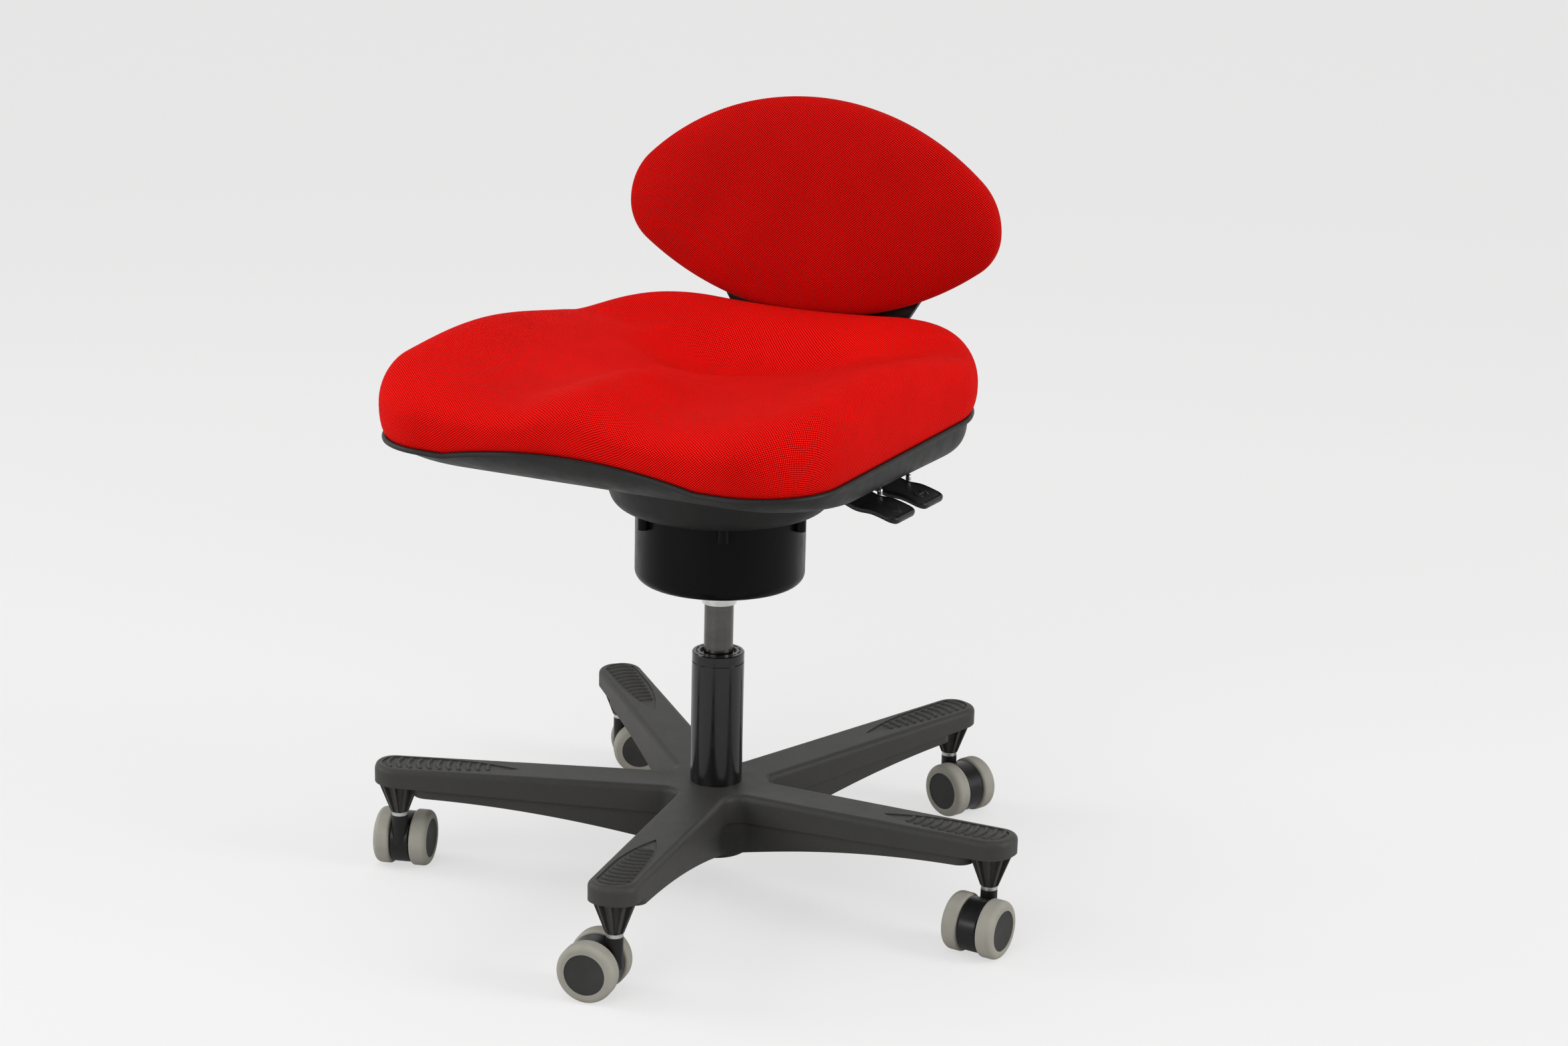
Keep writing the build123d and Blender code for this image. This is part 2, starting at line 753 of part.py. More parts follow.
with BuildPart() as buffer_ring:
    opening_radius = can_opening_diameter / 2
    with BuildSketch(Plane.XZ):
        Polygon(
            (buffer_opening_diameter / 2, can_bottom_z),
            (opening_radius, can_bottom_z),
            (opening_radius, can_bottom_z + can_wall),
            (opening_radius + buffer_lip, can_bottom_z + can_wall),
            (opening_radius + buffer_lip, can_bottom_z + can_wall + buffer_lip_height),
            (buffer_opening_diameter / 2, can_bottom_z + can_wall + buffer_lip_height),
            align=None,
        )
    revolve(axis=Axis.Z)
save(buffer_ring, "buffer_ring")

with BuildPart() as bowl_cover:
    with BuildSketch(Plane.XZ) as bowl_section:
        Polygon(
            (0, bowl_bottom_z),
            (bowl_foot_radius, bowl_bottom_z),
            (bowl_rim_radius, bowl_top_z),
            (0, bowl_top_z),
            align=None,
        )
        fillet(bowl_section.vertices().group_by(Axis.Y)[0].sort_by(Axis.X)[-1], bowl_round)
    revolve(axis=Axis.Z)
    with BuildSketch(Plane.XZ) as hollow_section:
        Polygon(
            (0, bowl_bottom_z + bowl_wall),
            (bowl_foot_radius - bowl_wall, bowl_bottom_z + bowl_wall),
            (bowl_rim_radius - bowl_wall, bowl_top_z),
            (0, bowl_top_z),
            align=None,
        )
        fillet(hollow_section.vertices().group_by(Axis.Y)[0].sort_by(Axis.X)[-1], bowl_round - bowl_wall)
    revolve(axis=Axis.Z, mode=Mode.SUBTRACT)
    slot_centre_z = bar_top_face_z - bar_thickness / 2
    with BuildSketch(Plane(origin=(0, 0, slot_centre_z), x_dir=(1, 0, 0), z_dir=(0, 1, 0))):
        Rectangle(bar_width + 2 * resting_gap, bar_thickness + 2 * resting_gap)
    extrude(amount=bowl_rim_radius, mode=Mode.SUBTRACT)
    with BuildSketch(Plane.XY.offset(bowl_bottom_z)):
        for angle in boss_angles:
            with PolarLocations(boss_circle_radius, 1, start_angle=angle):
                Circle(screw_diameter / 2)
    extrude(amount=bowl_wall, mode=Mode.SUBTRACT)
save(bowl_cover, "bowl_cover")

with BuildPart() as bowl_screws:
    head_bottom_z = boss_bottom_z + screw_head_recess
    with BuildSketch(Plane.XY.offset(head_bottom_z)):
        for angle in boss_angles:
            with PolarLocations(boss_circle_radius, 1, start_angle=angle):
                Circle(screw_head_diameter / 2)
    extrude(amount=screw_head_height)
    with BuildSketch(Plane.XY.offset(head_bottom_z + screw_head_height)):
        for angle in boss_angles:
            with PolarLocations(boss_circle_radius, 1, start_angle=angle):
                Circle(screw_diameter / 2)
    extrude(amount=bowl_bottom_z + bowl_wall - head_bottom_z - screw_head_height)
save(bowl_screws, "bowl_screws")


# Seat: pan, board and cushion; the pan and the cushion meet on one rim surface
def seat_plan(height, half_width, front, rear, front_corner, rear_corner):
    """Horizontal seat outline with small front corners and large rear ones."""
    with BuildSketch(Plane.XY.offset(height)) as plan:
        Polygon(
            (-half_width, -front),
            (half_width, -front),
            (half_width, rear),
            (-half_width, rear),
            align=None,
        )
        fillet(plan.vertices().group_by(Axis.Y)[0], front_corner)
        fillet(plan.vertices().group_by(Axis.Y)[-1], rear_corner)
    return plan.sketch


# Height above the pan's floor, then shares of the way from the bowl's rim to the seat's rim,
# at the sides and the rear, and at the front, where the pan is shallower
pan_stations = (
    (0, 0, 0),
    (12, 0.51, 0.42),
    (26, 0.94, 0.82),
    (40, 0.972, 0.965),
    (75, 0.98, 0.98),
)
pan_floor_radius = bowl_rim_radius + pan_floor_margin

with BuildPart() as rim_space:
    slope = (rim_rear_z - rim_front_z) / (seat_front + seat_rear)
    reach = seat_half_width
    with BuildSketch(Plane.YZ):
        Polygon(
            (-seat_front - reach, rim_front_z - slope * reach),
            (seat_rear + reach, rim_rear_z + slope * reach),
            (seat_rear + reach, rim_rear_z + reach),
            (-seat_front - reach, rim_rear_z + reach),
            align=None,
        )
    extrude(amount=2 * seat_half_width, both=True)
    with BuildSketch(Plane.XZ.offset(seat_front - rim_arch_depth)):
        with BuildLine():
            ThreePointArc(
                (-rim_arch_half_width, rim_front_z),
                (0, rim_front_z + rim_arch_rise),
                (rim_arch_half_width, rim_front_z),
            )
            Polyline(
                (rim_arch_half_width, rim_front_z),
                (rim_arch_half_width, rim_front_z - reach / 2),
                (-rim_arch_half_width, rim_front_z - reach / 2),
                (-rim_arch_half_width, rim_front_z),
            )
        make_face()
    extrude(amount=rim_arch_depth + reach, mode=Mode.SUBTRACT)


def pan_sections(inset):
    """Stacked sections of the pan, drawn in by the inset."""
    return [
        seat_plan(
            bowl_top_z + rise + inset,
            mix(pan_floor_radius, seat_half_width, share) - inset,
            mix(pan_floor_radius, seat_front, front_share) - inset,
            mix(pan_floor_radius, seat_rear, share) - inset,
            mix(pan_floor_corner, seat_front_corner, share) - inset,
            mix(pan_floor_corner, seat_rear_corner, share) - inset,
        )
        for rise, share, front_share in pan_stations
    ]


board_top_z = rim_front_z - resting_gap
board_bottom_z = board_top_z - board_thickness

with BuildPart() as pan_hollow:
    loft(pan_sections(pan_wall))

with BuildPart() as seat_pan:
    loft(pan_sections(0))
    add(pan_hollow.part, mode=Mode.SUBTRACT)
    add(rim_space.part, mode=Mode.SUBTRACT)
    with BuildSketch(Plane.XY.offset(bowl_top_z + pan_wall / 2)):
        with PolarLocations(post_circle_radius, post_count):
            Circle(post_diameter / 2)
    extrude(amount=board_bottom_z - bowl_top_z - pan_wall / 2)
    for lever_y in lever_centres.values():
        for direction in (1, -1):
            lug_y = lever_y + direction * (lever_width / 2 + resting_gap)
            lug_centre = (lever_pivot_x, lug_y, lever_pivot_z)
            with BuildSketch(Plane(origin=lug_centre, x_dir=(-direction, 0, 0), z_dir=(0, direction, 0))):
                Circle(lug_radius)
                with Locations((0, lug_radius)):
                    Rectangle(2 * lug_radius, 2 * lug_radius)
                Circle(lever_pin_diameter / 2, mode=Mode.SUBTRACT)
            extrude(amount=lug_thickness)
save(seat_pan, "seat_pan")

with BuildPart() as seat_board:
    board_plan = seat_plan(
        board_bottom_z,
        seat_half_width - board_inset,
        seat_front - 2 * board_inset,
        seat_rear - board_inset,
        board_corner,
        seat_rear_corner - board_inset,
    )
    extrude(board_plan, amount=board_thickness)
save(seat_board, "seat_board")


def seat_height(x, y):
    """Height of the cushion's top over a point of the seat's plan."""
    side = abs(x) / seat_half_width
    wing = wing_rise * side ** 2 * exp(-(((y - wing_y) / wing_length) ** 2))
    rear = rear_rise * ease((y - rear_start) / rear_run)
    hollow = hollow_depth * exp(-((x / hollow_width) ** 2) - ((y - hollow_y) / hollow_length) ** 2)
    pommel = pommel_rise * exp(-((x / pommel_width) ** 2)) * ease((-pommel_start - y) / pommel_run)
    return rim_front_z + cushion_side_height + side_rise * side ** 2 + wing + rear + pommel - hollow


def seat_half_width_at(y):
    """Half the seat's width at a distance along it, from the rounded plan."""
    for corner, room in ((seat_front_corner, y + seat_front), (seat_rear_corner, seat_rear - y)):
        if room < corner:
            return seat_half_width - corner + sqrt(corner ** 2 - (corner - room) ** 2)
    return seat_half_width


def edge_share(room, edge_round):
    """Share of the full height that the cushion keeps at a distance in from an edge."""
    short = max(1.0 - (room + cushion_bulge) / edge_round, 0.0)
    return sqrt(1.0 - short ** 2)


def cushion_top(x, y, low):
    """Height of the cushion's top with its edges rounded down towards the low line."""
    front_share = edge_share(y + seat_front, cushion_front_round)
    rear_share = edge_share(seat_rear - y, cushion_rear_round)
    side_share = edge_share(seat_half_width_at(y) - abs(x), cushion_side_round)
    return low + (seat_height(x, y) - low) * front_share * rear_share * side_share


# Distances along the seat where the cushion's outline is drawn, and shares of its half width for the arcs
cushion_stations = (-276, -268, -254, -232, -200, -155, -95, -25, 40, 95, 130, 152, 163, 168)
side_shares = (0.95, 0.87, 0.76, 0.6, 0.44, 0.31, 0.17)
top_shares = side_shares + (0,) + tuple(-share for share in reversed(side_shares))

with BuildPart() as seat_cushion:
    for station in cushion_stations:
        half = seat_half_width_at(station)
        low = rim_front_z - pan_wall
        top = [(half * part, cushion_top(half * part, station, low)) for part in top_shares]
        waist = mix(low, top[0][1], 0.5)
        with BuildSketch(Plane.XZ.offset(-station)):
            with BuildLine():
                Line((-half, low), (half, low))
                ThreePointArc((half, low), (half + cushion_bulge, waist), top[0])
                for start in range(0, len(top) - 1, 2):
                    ThreePointArc(top[start], top[start + 1], top[start + 2])
                ThreePointArc(top[-1], (-half - cushion_bulge, waist), (-half, low))
            make_face()
    loft()
    add(rim_space.part, mode=Mode.INTERSECT)
save(seat_cushion, "seat_cushion")


# Backrest: pad, shell with a neck, bent bar and four screws
def back_section(y, scale, inset=0.0):
    """Upright back outline of six tangent arcs: dome, two upper tips, two lower tips and bottom."""
    upper_round = (back_upper_round - inset) * scale
    lower_round = (back_lower_round - inset) * scale
    half_width = (back_half_width - inset) * scale
    rise = (back_top_z - back_tip_z - inset) * scale
    drop = (back_tip_z - back_bottom_z - inset) * scale
    dome = ((half_width - upper_round) ** 2 + rise ** 2 - upper_round ** 2) / (2 * (rise - upper_round))
    sag = ((half_width - lower_round) ** 2 + drop ** 2 - lower_round ** 2) / (2 * (drop - lower_round))
    dome_turn = degrees(asin((half_width - upper_round) / (dome - upper_round)))
    sag_turn = degrees(asin((half_width - lower_round) / (sag - lower_round)))
    upper_x = half_width - upper_round
    lower_x = half_width - lower_round
    with BuildSketch(Plane.XZ.offset(-y)) as outline:
        with BuildLine():
            CenterArc((0, back_tip_z + rise - dome), dome, 90 - dome_turn, 2 * dome_turn)
            CenterArc((-upper_x, back_tip_z), upper_round, 90 + dome_turn, 90 - dome_turn)
            CenterArc((-lower_x, back_tip_z), lower_round, 180, 90 - sag_turn)
            CenterArc((0, back_tip_z - drop + sag), sag, 270 - sag_turn, 2 * sag_turn)
            CenterArc((lower_x, back_tip_z), lower_round, 270 + sag_turn, 90 - sag_turn)
            CenterArc((upper_x, back_tip_z), upper_round, 0, 90 - dome_turn)
        make_face()
    return outline.sketch


# Share of the pad's thickness forwards of its rear face, and the outline's scale there
pad_stations = (
    (0, 0.965),
    (0.2, 0.99),
    (0.45, 1.0),
    (0.68, 0.955),
    (0.85, 0.82),
    (0.95, 0.58),
)

with BuildPart() as back_cushion:
    pad_sections = [
        back_section(back_pad_rear_y - back_pad_thickness * share, scale)
        for share, scale in pad_stations
    ]
    loft(pad_sections)
save(back_cushion, "back_cushion")

# Share of the shell's depth backwards, and the outline's scale there
shell_stations = ((0.0, 1.0), (0.5, 0.965), (1.0, 0.85))

with BuildPart() as shell_hollow:
    hollow_sections = [
        back_section(back_pad_rear_y + (shell_depth - shell_wall) * share, scale, shell_inset + shell_rim)
        for share, scale in shell_stations
    ]
    loft(hollow_sections)

with BuildPart() as back_shell:
    shell_sections = [
        back_section(back_pad_rear_y + shell_depth * share, scale, shell_inset)
        for share, scale in shell_stations
    ]
    loft(shell_sections)
    add(shell_hollow.part, mode=Mode.SUBTRACT)
    with BuildSketch(Plane.XZ.offset(-neck_rear_y)):
        Polygon(
            (-neck_bottom_half_width, neck_bottom_z),
            (neck_bottom_half_width, neck_bottom_z),
            (neck_top_half_width, neck_top_z),
            (-neck_top_half_width, neck_top_z),
            align=None,
        )
    extrude(amount=neck_thickness)
save(back_shell, "back_shell")

with BuildPart() as back_bar:
    bar_front_y = neck_rear_y
    bar_rear_y = bar_front_y + bar_thickness
    bar_bottom_face_z = bar_top_face_z - bar_thickness
    with BuildSketch(Plane.YZ) as bar_section:
        Polygon(
            (bar_inner_y, bar_bottom_face_z),
            (bar_rear_y, bar_bottom_face_z),
            (bar_rear_y, bar_top_z),
            (bar_front_y, bar_top_z),
            (bar_front_y, bar_top_face_z),
            (bar_inner_y, bar_top_face_z),
            align=None,
        )
        outer_bend = (bar_rear_y, bar_bottom_face_z)
        inner_bend = (bar_front_y, bar_top_face_z)
        fillet(bar_section.vertices().sort_by_distance(outer_bend)[0], bar_bend_radius + bar_thickness)
        fillet(bar_section.vertices().sort_by_distance(inner_bend)[0], bar_bend_radius)
    extrude(amount=bar_width / 2, both=True)
    for height in back_screw_heights:
        with BuildSketch(Plane.XZ.offset(-bar_rear_y)):
            with Locations((-back_screw_spread / 2, height), (back_screw_spread / 2, height)):
                Circle(screw_diameter / 2)
        extrude(amount=bar_thickness, mode=Mode.SUBTRACT)
save(back_bar, "back_bar")

with BuildPart() as back_screws:
    for height in back_screw_heights:
        with BuildSketch(Plane.XZ.offset(-bar_rear_y)):
            with Locations((-back_screw_spread / 2, height), (back_screw_spread / 2, height)):
                Circle(screw_diameter / 2)
        extrude(amount=bar_thickness)
        with BuildSketch(Plane.XZ.offset(-bar_rear_y)):
            with Locations((-back_screw_spread / 2, height), (back_screw_spread / 2, height)):
                Circle(screw_head_diameter / 2)
        extrude(amount=-screw_head_height)
save(back_screws, "back_screws")


# Levers: paddles that turn on steel pins held in the pan's lugs
def lever_line(offset):
    """Side line of the paddle: level at the pivot, a dip, a level stretch, then a droop to the tip."""
    shares = ((-0.1, 0.0), (0.12, 0.02), (0.38, 0.42), (0.64, 0.52), (1.0, 1.0))
    return [
        (lever_pivot_x + lever_tip_reach * along, lever_pivot_z - lever_tip_drop * down + offset)
        for along, down in shares
    ]


for lever_name, lever_y in lever_centres.items():
    with BuildPart() as lever:
        upper = lever_line(lever_thickness / 2)
        lower = lever_line(-lever_thickness / 2)
        with BuildSketch(Plane.XZ.offset(-lever_y)):
            with BuildLine():
                Spline(*upper)
                Line(upper[-1], lower[-1])
                Spline(*lower)
                Line(lower[0], upper[0])
            make_face()
        extrude(amount=lever_width / 2, both=True)
        tip_face = lever.faces().sort_by(Axis.X)[-1]
        fillet(tip_face.edges().filter_by(Axis.Z), lever_tip_corner)
        with BuildSketch(Plane(origin=(lever_pivot_x, lever_y, lever_pivot_z), z_dir=(0, 1, 0))):
            Circle(lever_pin_diameter / 2 + running_gap)
        extrude(amount=lever_width, both=True, mode=Mode.SUBTRACT)
    save(lever, lever_name)

    with BuildPart() as lever_pin:
        pin_half = lever_width / 2 + resting_gap + lug_thickness + lever_pin_overhang
        with BuildSketch(Plane(origin=(lever_pivot_x, lever_y, lever_pivot_z), z_dir=(0, 1, 0))):
            Circle(lever_pin_diameter / 2)
        extrude(amount=pin_half, both=True)
    save(lever_pin, f"{lever_name}_pin")
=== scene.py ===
import json
import math

import bpy
from mathutils import Matrix, Vector


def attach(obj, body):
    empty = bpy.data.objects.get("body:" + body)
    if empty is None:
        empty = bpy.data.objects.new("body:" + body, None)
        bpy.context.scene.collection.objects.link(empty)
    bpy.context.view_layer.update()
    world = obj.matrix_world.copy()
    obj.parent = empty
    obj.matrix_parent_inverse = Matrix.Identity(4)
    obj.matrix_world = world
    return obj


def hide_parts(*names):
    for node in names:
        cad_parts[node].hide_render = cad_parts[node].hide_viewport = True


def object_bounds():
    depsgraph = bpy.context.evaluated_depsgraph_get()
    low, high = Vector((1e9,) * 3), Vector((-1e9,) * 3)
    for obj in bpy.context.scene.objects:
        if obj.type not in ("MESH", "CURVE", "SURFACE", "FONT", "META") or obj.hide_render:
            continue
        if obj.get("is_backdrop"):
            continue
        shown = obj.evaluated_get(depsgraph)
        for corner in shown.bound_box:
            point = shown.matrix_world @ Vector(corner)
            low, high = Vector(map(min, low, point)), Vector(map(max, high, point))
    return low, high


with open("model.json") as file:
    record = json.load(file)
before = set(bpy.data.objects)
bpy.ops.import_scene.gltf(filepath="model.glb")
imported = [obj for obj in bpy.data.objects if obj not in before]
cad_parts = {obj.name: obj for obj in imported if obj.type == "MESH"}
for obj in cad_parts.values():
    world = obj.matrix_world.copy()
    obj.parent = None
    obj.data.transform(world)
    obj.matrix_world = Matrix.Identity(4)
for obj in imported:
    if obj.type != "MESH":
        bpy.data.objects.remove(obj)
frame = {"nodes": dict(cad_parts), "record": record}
cad_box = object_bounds()
nodes = frame["nodes"]
scene = bpy.context.scene
scene.view_settings.view_transform = "Standard"

MM = 0.001


# Shaders
class Shader:
    """A material on the Principled shader, with short ways to add and join nodes."""

    def __init__(self, name, color, roughness, metallic=0.0, **sockets):
        self.material = bpy.data.materials.new(name)
        self.material.use_nodes = True
        self.tree = self.material.node_tree
        self.bsdf = self.tree.nodes["Principled BSDF"]
        self.set("Base Color", (*color, 1.0))
        self.set("Roughness", roughness)
        self.set("Metallic", metallic)
        for socket, value in sockets.items():
            self.set(socket.replace("_", " "), value)
        self.normal = None

    def set(self, socket, value):
        self.bsdf.inputs[socket].default_value = value

    def add(self, kind, inputs=None, **settings):
        node = self.tree.nodes.new(kind)
        for key, value in settings.items():
            setattr(node, key, value)
        for key, value in (inputs or {}).items():
            if isinstance(value, bpy.types.NodeSocket):
                self.tree.links.new(value, node.inputs[key])
            else:
                node.inputs[key].default_value = value
        return node

    def feed(self, output, socket):
        self.tree.links.new(output, self.bsdf.inputs[socket])

    def place(self, scale=(1.0, 1.0, 1.0), uv=False):
        """Coordinates in metres, in the frame or on the piece's own map, times a scale."""
        coordinates = self.add("ShaderNodeTexCoord")
        output = coordinates.outputs["UV" if uv else "Object"]
        return self.add("ShaderNodeMapping", {"Vector": output, "Scale": scale}).outputs["Vector"]

    def noise(self, vector, scale, detail=3.0):
        made = self.add(
            "ShaderNodeTexNoise",
            {"Vector": vector, "Scale": scale, "Detail": detail, "Roughness": 0.55},
        )
        return made.outputs["Fac"]

    def ramp(self, value, low, high, start=0.3, end=0.7):
        """Colour or number that runs from low to high as the value goes from start to end."""
        made = self.add("ShaderNodeMapRange", {"Value": value, "From Min": start, "From Max": end})
        if isinstance(low, tuple):
            return self.blend(made.outputs["Result"], (*low, 1.0), (*high, 1.0))
        made.inputs["To Min"].default_value = low
        made.inputs["To Max"].default_value = high
        return made.outputs["Result"]

    def blend(self, share, low, high, way="MIX"):
        """Colour mix; socket 0 of the node is the share, 6 and 7 are the colours."""
        made = self.add("ShaderNodeMix", {0: share, 6: low, 7: high}, data_type="RGBA", blend_type=way)
        return made.outputs[2]

    def bump(self, height, strength, distance):
        inputs = {"Height": height, "Strength": strength, "Distance": distance}
        if self.normal is not None:
            inputs["Normal"] = self.normal
        self.normal = self.add("ShaderNodeBump", inputs).outputs["Normal"]
        self.feed(self.normal, "Normal")


def tint(color, share):
    return tuple(min(channel * share, 1.0) for channel in color)


def moulded(name, color, roughness, grain=1100.0, depth=0.35, spread=0.18, gloss=0.32, uneven=0.06):
    """Moulded plastic: fine spark-eroded grain, slight mottling and uneven gloss."""
    shader = Shader(name, color, roughness)
    shader.set("Specular IOR Level", gloss)
    vector = shader.place()
    cloud = shader.noise(vector, 26.0, 4.0)
    shader.feed(shader.ramp(cloud, tint(color, 1.0 - spread), tint(color, 1.0 + spread)), "Base Color")
    shader.feed(shader.ramp(shader.noise(vector, 70.0), roughness - uneven, roughness + uneven), "Roughness")
    shader.bump(shader.noise(vector, grain, 2.0), depth, 0.0004)
    shader.bump(shader.noise(vector, grain * 0.28, 2.0), depth * 0.5, 0.0006)
    return shader.material


def metal(name, color, roughness, lines=(40.0, 40.0, 1500.0), depth=0.08, spread=0.12):
    """Metal with fine machining lines and faint stains."""
    shader = Shader(name, color, roughness, 1.0)
    stretched = shader.noise(shader.place(lines), 1.0, 4.0)
    stain = shader.noise(shader.place(), 55.0, 5.0)
    shader.feed(shader.ramp(stain, tint(color, 1.0 - spread), tint(color, 1.0 + spread)), "Base Color")
    shader.feed(shader.ramp(stretched, roughness - 0.07, roughness + 0.09), "Roughness")
    shader.bump(stretched, depth, 0.0003)
    return shader.material


def knit(name, thread, crest_highlight, hole_shade, pitch=(2.9, 2.3)):
    """Mesh knit: smooth threads round staggered small holes; the thread crests carry a painted highlight and
    the holes carry painted shade.
    """
    sheen = {"Sheen_Weight": 0.04, "Sheen_Roughness": 0.4, "Sheen_Tint": (1.0, 0.10, 0.07, 1.0)}
    shader = Shader(name, thread, 0.72, **sheen)
    shader.set("Specular IOR Level", 0.02)
    vector = shader.place((1000.0, 1000.0, 1000.0), uv=True)
    wobble = shader.add("ShaderNodeTexNoise", {"Vector": vector, "Scale": 0.16, "Detail": 2.0})
    centred = {0: wobble.outputs["Color"], 1: (0.5, 0.5, 0.5)}
    shift = shader.add("ShaderNodeVectorMath", centred, operation="SUBTRACT")
    sway = shader.add("ShaderNodeVectorMath", {0: shift.outputs[0], "Scale": 1.1}, operation="SCALE")
    loops = shader.add("ShaderNodeVectorMath", {0: vector, 1: sway.outputs[0]}, operation="ADD")
    axes = shader.add("ShaderNodeSeparateXYZ", {0: loops.outputs[0]})
    waves = []
    for axis, length in zip("XY", pitch):
        phase = {0: axes.outputs[axis], 1: 2.0 * math.pi / length}
        turn = shader.add("ShaderNodeMath", phase, operation="MULTIPLY")
        waves.append(shader.add("ShaderNodeMath", {0: turn.outputs[0]}, operation="COSINE").outputs[0])
    weave = shader.add("ShaderNodeMath", {0: waves[0], 1: waves[1]}, operation="MULTIPLY").outputs[0]
    # The crest colour is a painted highlight on the tops of the threads.
    lit = shader.ramp(weave, crest_highlight, thread, -0.85, -0.1)
    # The hole colour is painted shade inside the holes, and this share places it.
    hole_shade_share = shader.ramp(weave, 0.0, 1.0, 0.08, 0.52)
    color = shader.blend(hole_shade_share, lit, (*hole_shade, 1.0))
    soft = shader.noise(shader.place(), 14.0, 3.0)
    shade = shader.ramp(soft, (0.94, 0.94, 0.94), (1.05, 1.05, 1.05))
    shader.feed(shader.blend(1.0, color, shade, "MULTIPLY"), "Base Color")
    shader.bump(shader.ramp(weave, 1.0, 0.0, -1.0, 1.0), 0.5, 0.0006)
    shader.bump(shader.noise(vector, 3.4, 2.0), 0.2, 0.0002)
    return shader.material


materials = {
    # Knit colours: thread, crest with a painted highlight, hole with painted shade.
    "seat_fabric": knit("seat_knit", (0.76, 0.0016, 0.0010), (0.87, 0.018, 0.012), (0.065, 0.001, 0.001)),
    # Painted shade: the back's knit colours are the seat's knit made darker, for the upright back that gets
    # less light.
    "back_fabric": knit("back_knit_shaded", (0.59, 0.0014, 0.0010), (0.70, 0.014, 0.010), (0.040, 0.001, 0.001)),
    "pan_plastic": moulded("pan_grain", (0.014, 0.014, 0.0135), 0.52, gloss=0.26),
    "base_nylon": moulded(
        "base_grain", (0.043, 0.0425, 0.040), 0.46,
        grain=1700.0, depth=0.6, spread=0.03, gloss=0.22, uneven=0.02,
    ),
    "can_paint": moulded(
        "can_satin", (0.0035, 0.0035, 0.0035), 0.32, grain=1500.0, depth=0.1, spread=0.1, gloss=0.1
    ),
    "tube_black": moulded(
        "tube_gloss", (0.006, 0.006, 0.006), 0.20, grain=420.0, depth=0.03, spread=0.08, gloss=0.55
    ),
    "bush_plastic": moulded(
        "bush_gloss", (0.008, 0.008, 0.008), 0.18, grain=900.0, depth=0.04, spread=0.1, gloss=0.5
    ),
    "cylinder_steel": metal("cylinder_steel", (0.125, 0.121, 0.116), 0.26),
    "zinc": metal("zinc_plate", (0.72, 0.73, 0.72), 0.33, (300.0, 300.0, 300.0), 0.12, 0.1),
    "steel": metal("bright_steel", (0.60, 0.61, 0.62), 0.28, (200.0, 200.0, 900.0), 0.06, 0.08),
    "rubber_black": moulded("buffer_rubber", (0.012, 0.012, 0.012), 0.75, grain=1400.0, depth=0.2),
    "fork_plastic": moulded("fork_satin", (0.007, 0.007, 0.007), 0.36, grain=1300.0, depth=0.15),
    "cap_plastic": moulded("cap_grain", (0.034, 0.034, 0.033), 0.66, grain=800.0, depth=0.5),
    "tread_grey": moulded("tread_rubber", (0.312, 0.303, 0.258), 0.62, grain=600.0, depth=0.3, spread=0.12),
    "lever_plastic": moulded("lever_satin", (0.008, 0.008, 0.008), 0.40, grain=1300.0, depth=0.15),
    "bar_paint": moulded("bar_satin", (0.010, 0.010, 0.010), 0.46, grain=1100.0, depth=0.3),
}


def plywood():
    shader = Shader("board_ply", (0.42, 0.29, 0.17), 0.62)
    vector = shader.place((6.0, 60.0, 500.0))
    grain = shader.noise(vector, 1.0, 5.0)
    shader.feed(shader.ramp(grain, (0.32, 0.21, 0.12), (0.50, 0.36, 0.22)), "Base Color")
    shader.bump(grain, 0.2, 0.0005)
    return shader.material


materials["board_wood"] = plywood()

for entry in frame["record"]["subparts"]:
    holder = nodes[entry["node"]]
    if not holder.material_slots:
        holder.data.materials.append(None)
    for place in holder.material_slots:
        place.material = materials[entry["material_slot"]]


# Pieces
def make_piece(name, points, faces, body, slot, uvs=None):
    """Smooth mesh piece in the row frame, points in millimetres, that rides on a body."""
    mesh = bpy.data.meshes.new(name)
    mesh.from_pydata([tuple(value * MM for value in point) for point in points], [], faces)
    mesh.update()
    if uvs is not None:
        layer = mesh.uv_layers.new(name="knit")
        for loop in mesh.loops:
            layer.data[loop.index].uv = uvs[loop.vertex_index]
    mesh.polygons.foreach_set("use_smooth", [True] * len(mesh.polygons))
    piece = bpy.data.objects.new(name, mesh)
    scene.collection.objects.link(piece)
    piece.data.materials.append(materials[slot])
    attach(piece, body)
    return piece


def ring_faces(count, rings):
    """Quads between stacked closed rings of the same count."""
    faces = []
    for ring in range(rings - 1):
        for step in range(count):
            a = ring * count + step
            b = ring * count + (step + 1) % count
            faces.append((a, b, b + count, a + count))
    return faces


def ease(share):
    share = min(max(share, 0.0), 1.0)
    return share * share * (3.0 - 2.0 * share)


# Seat cushion: a moulded pad with a raised front ridge, leg troughs, a hollow and a raised rear rim
SEAT_HALF = 221.0
SEAT_FRONT = 278.0
SEAT_REAR = 170.0
FRONT_CORNER = 74.0
REAR_CORNER = 126.0
RIM_FRONT = 458.0
RIM_RISE = 12.0
ARCH_HALF = 125.0
ARCH_RISE = 13.0
ARCH_END = -48.0
SEAT_STEPS = 480
SEAT_TOP = 503.2
SIDE_RISE = 15.0
WING_RISE, WING_Y, WING_RUN = 31.8, -97.0, 158.0
REAR_RISE, REAR_START, REAR_RUN = 29.8, 63.5, 106.0
HOLLOW_DEPTH, HOLLOW_Y, HOLLOW_HALF, HOLLOW_RUN = 24.0, 40.0, 128.0, 88.0
RIDGE_RISE, RIDGE_WIDTH, RIDGE_START, RIDGE_RUN = 25.0, 46.0, -75.0, 95.0
FRONT_SHOULDER, REAR_SHOULDER, SIDE_SHOULDER = 69.3, 31.5, 40.75
WAIST_SHARE = 0.434
BULGE, TUCK = 5.4, 8.0
SHOULDER_POWER = 0.87
POLE_Y = 10.0
TOP_RINGS = 44


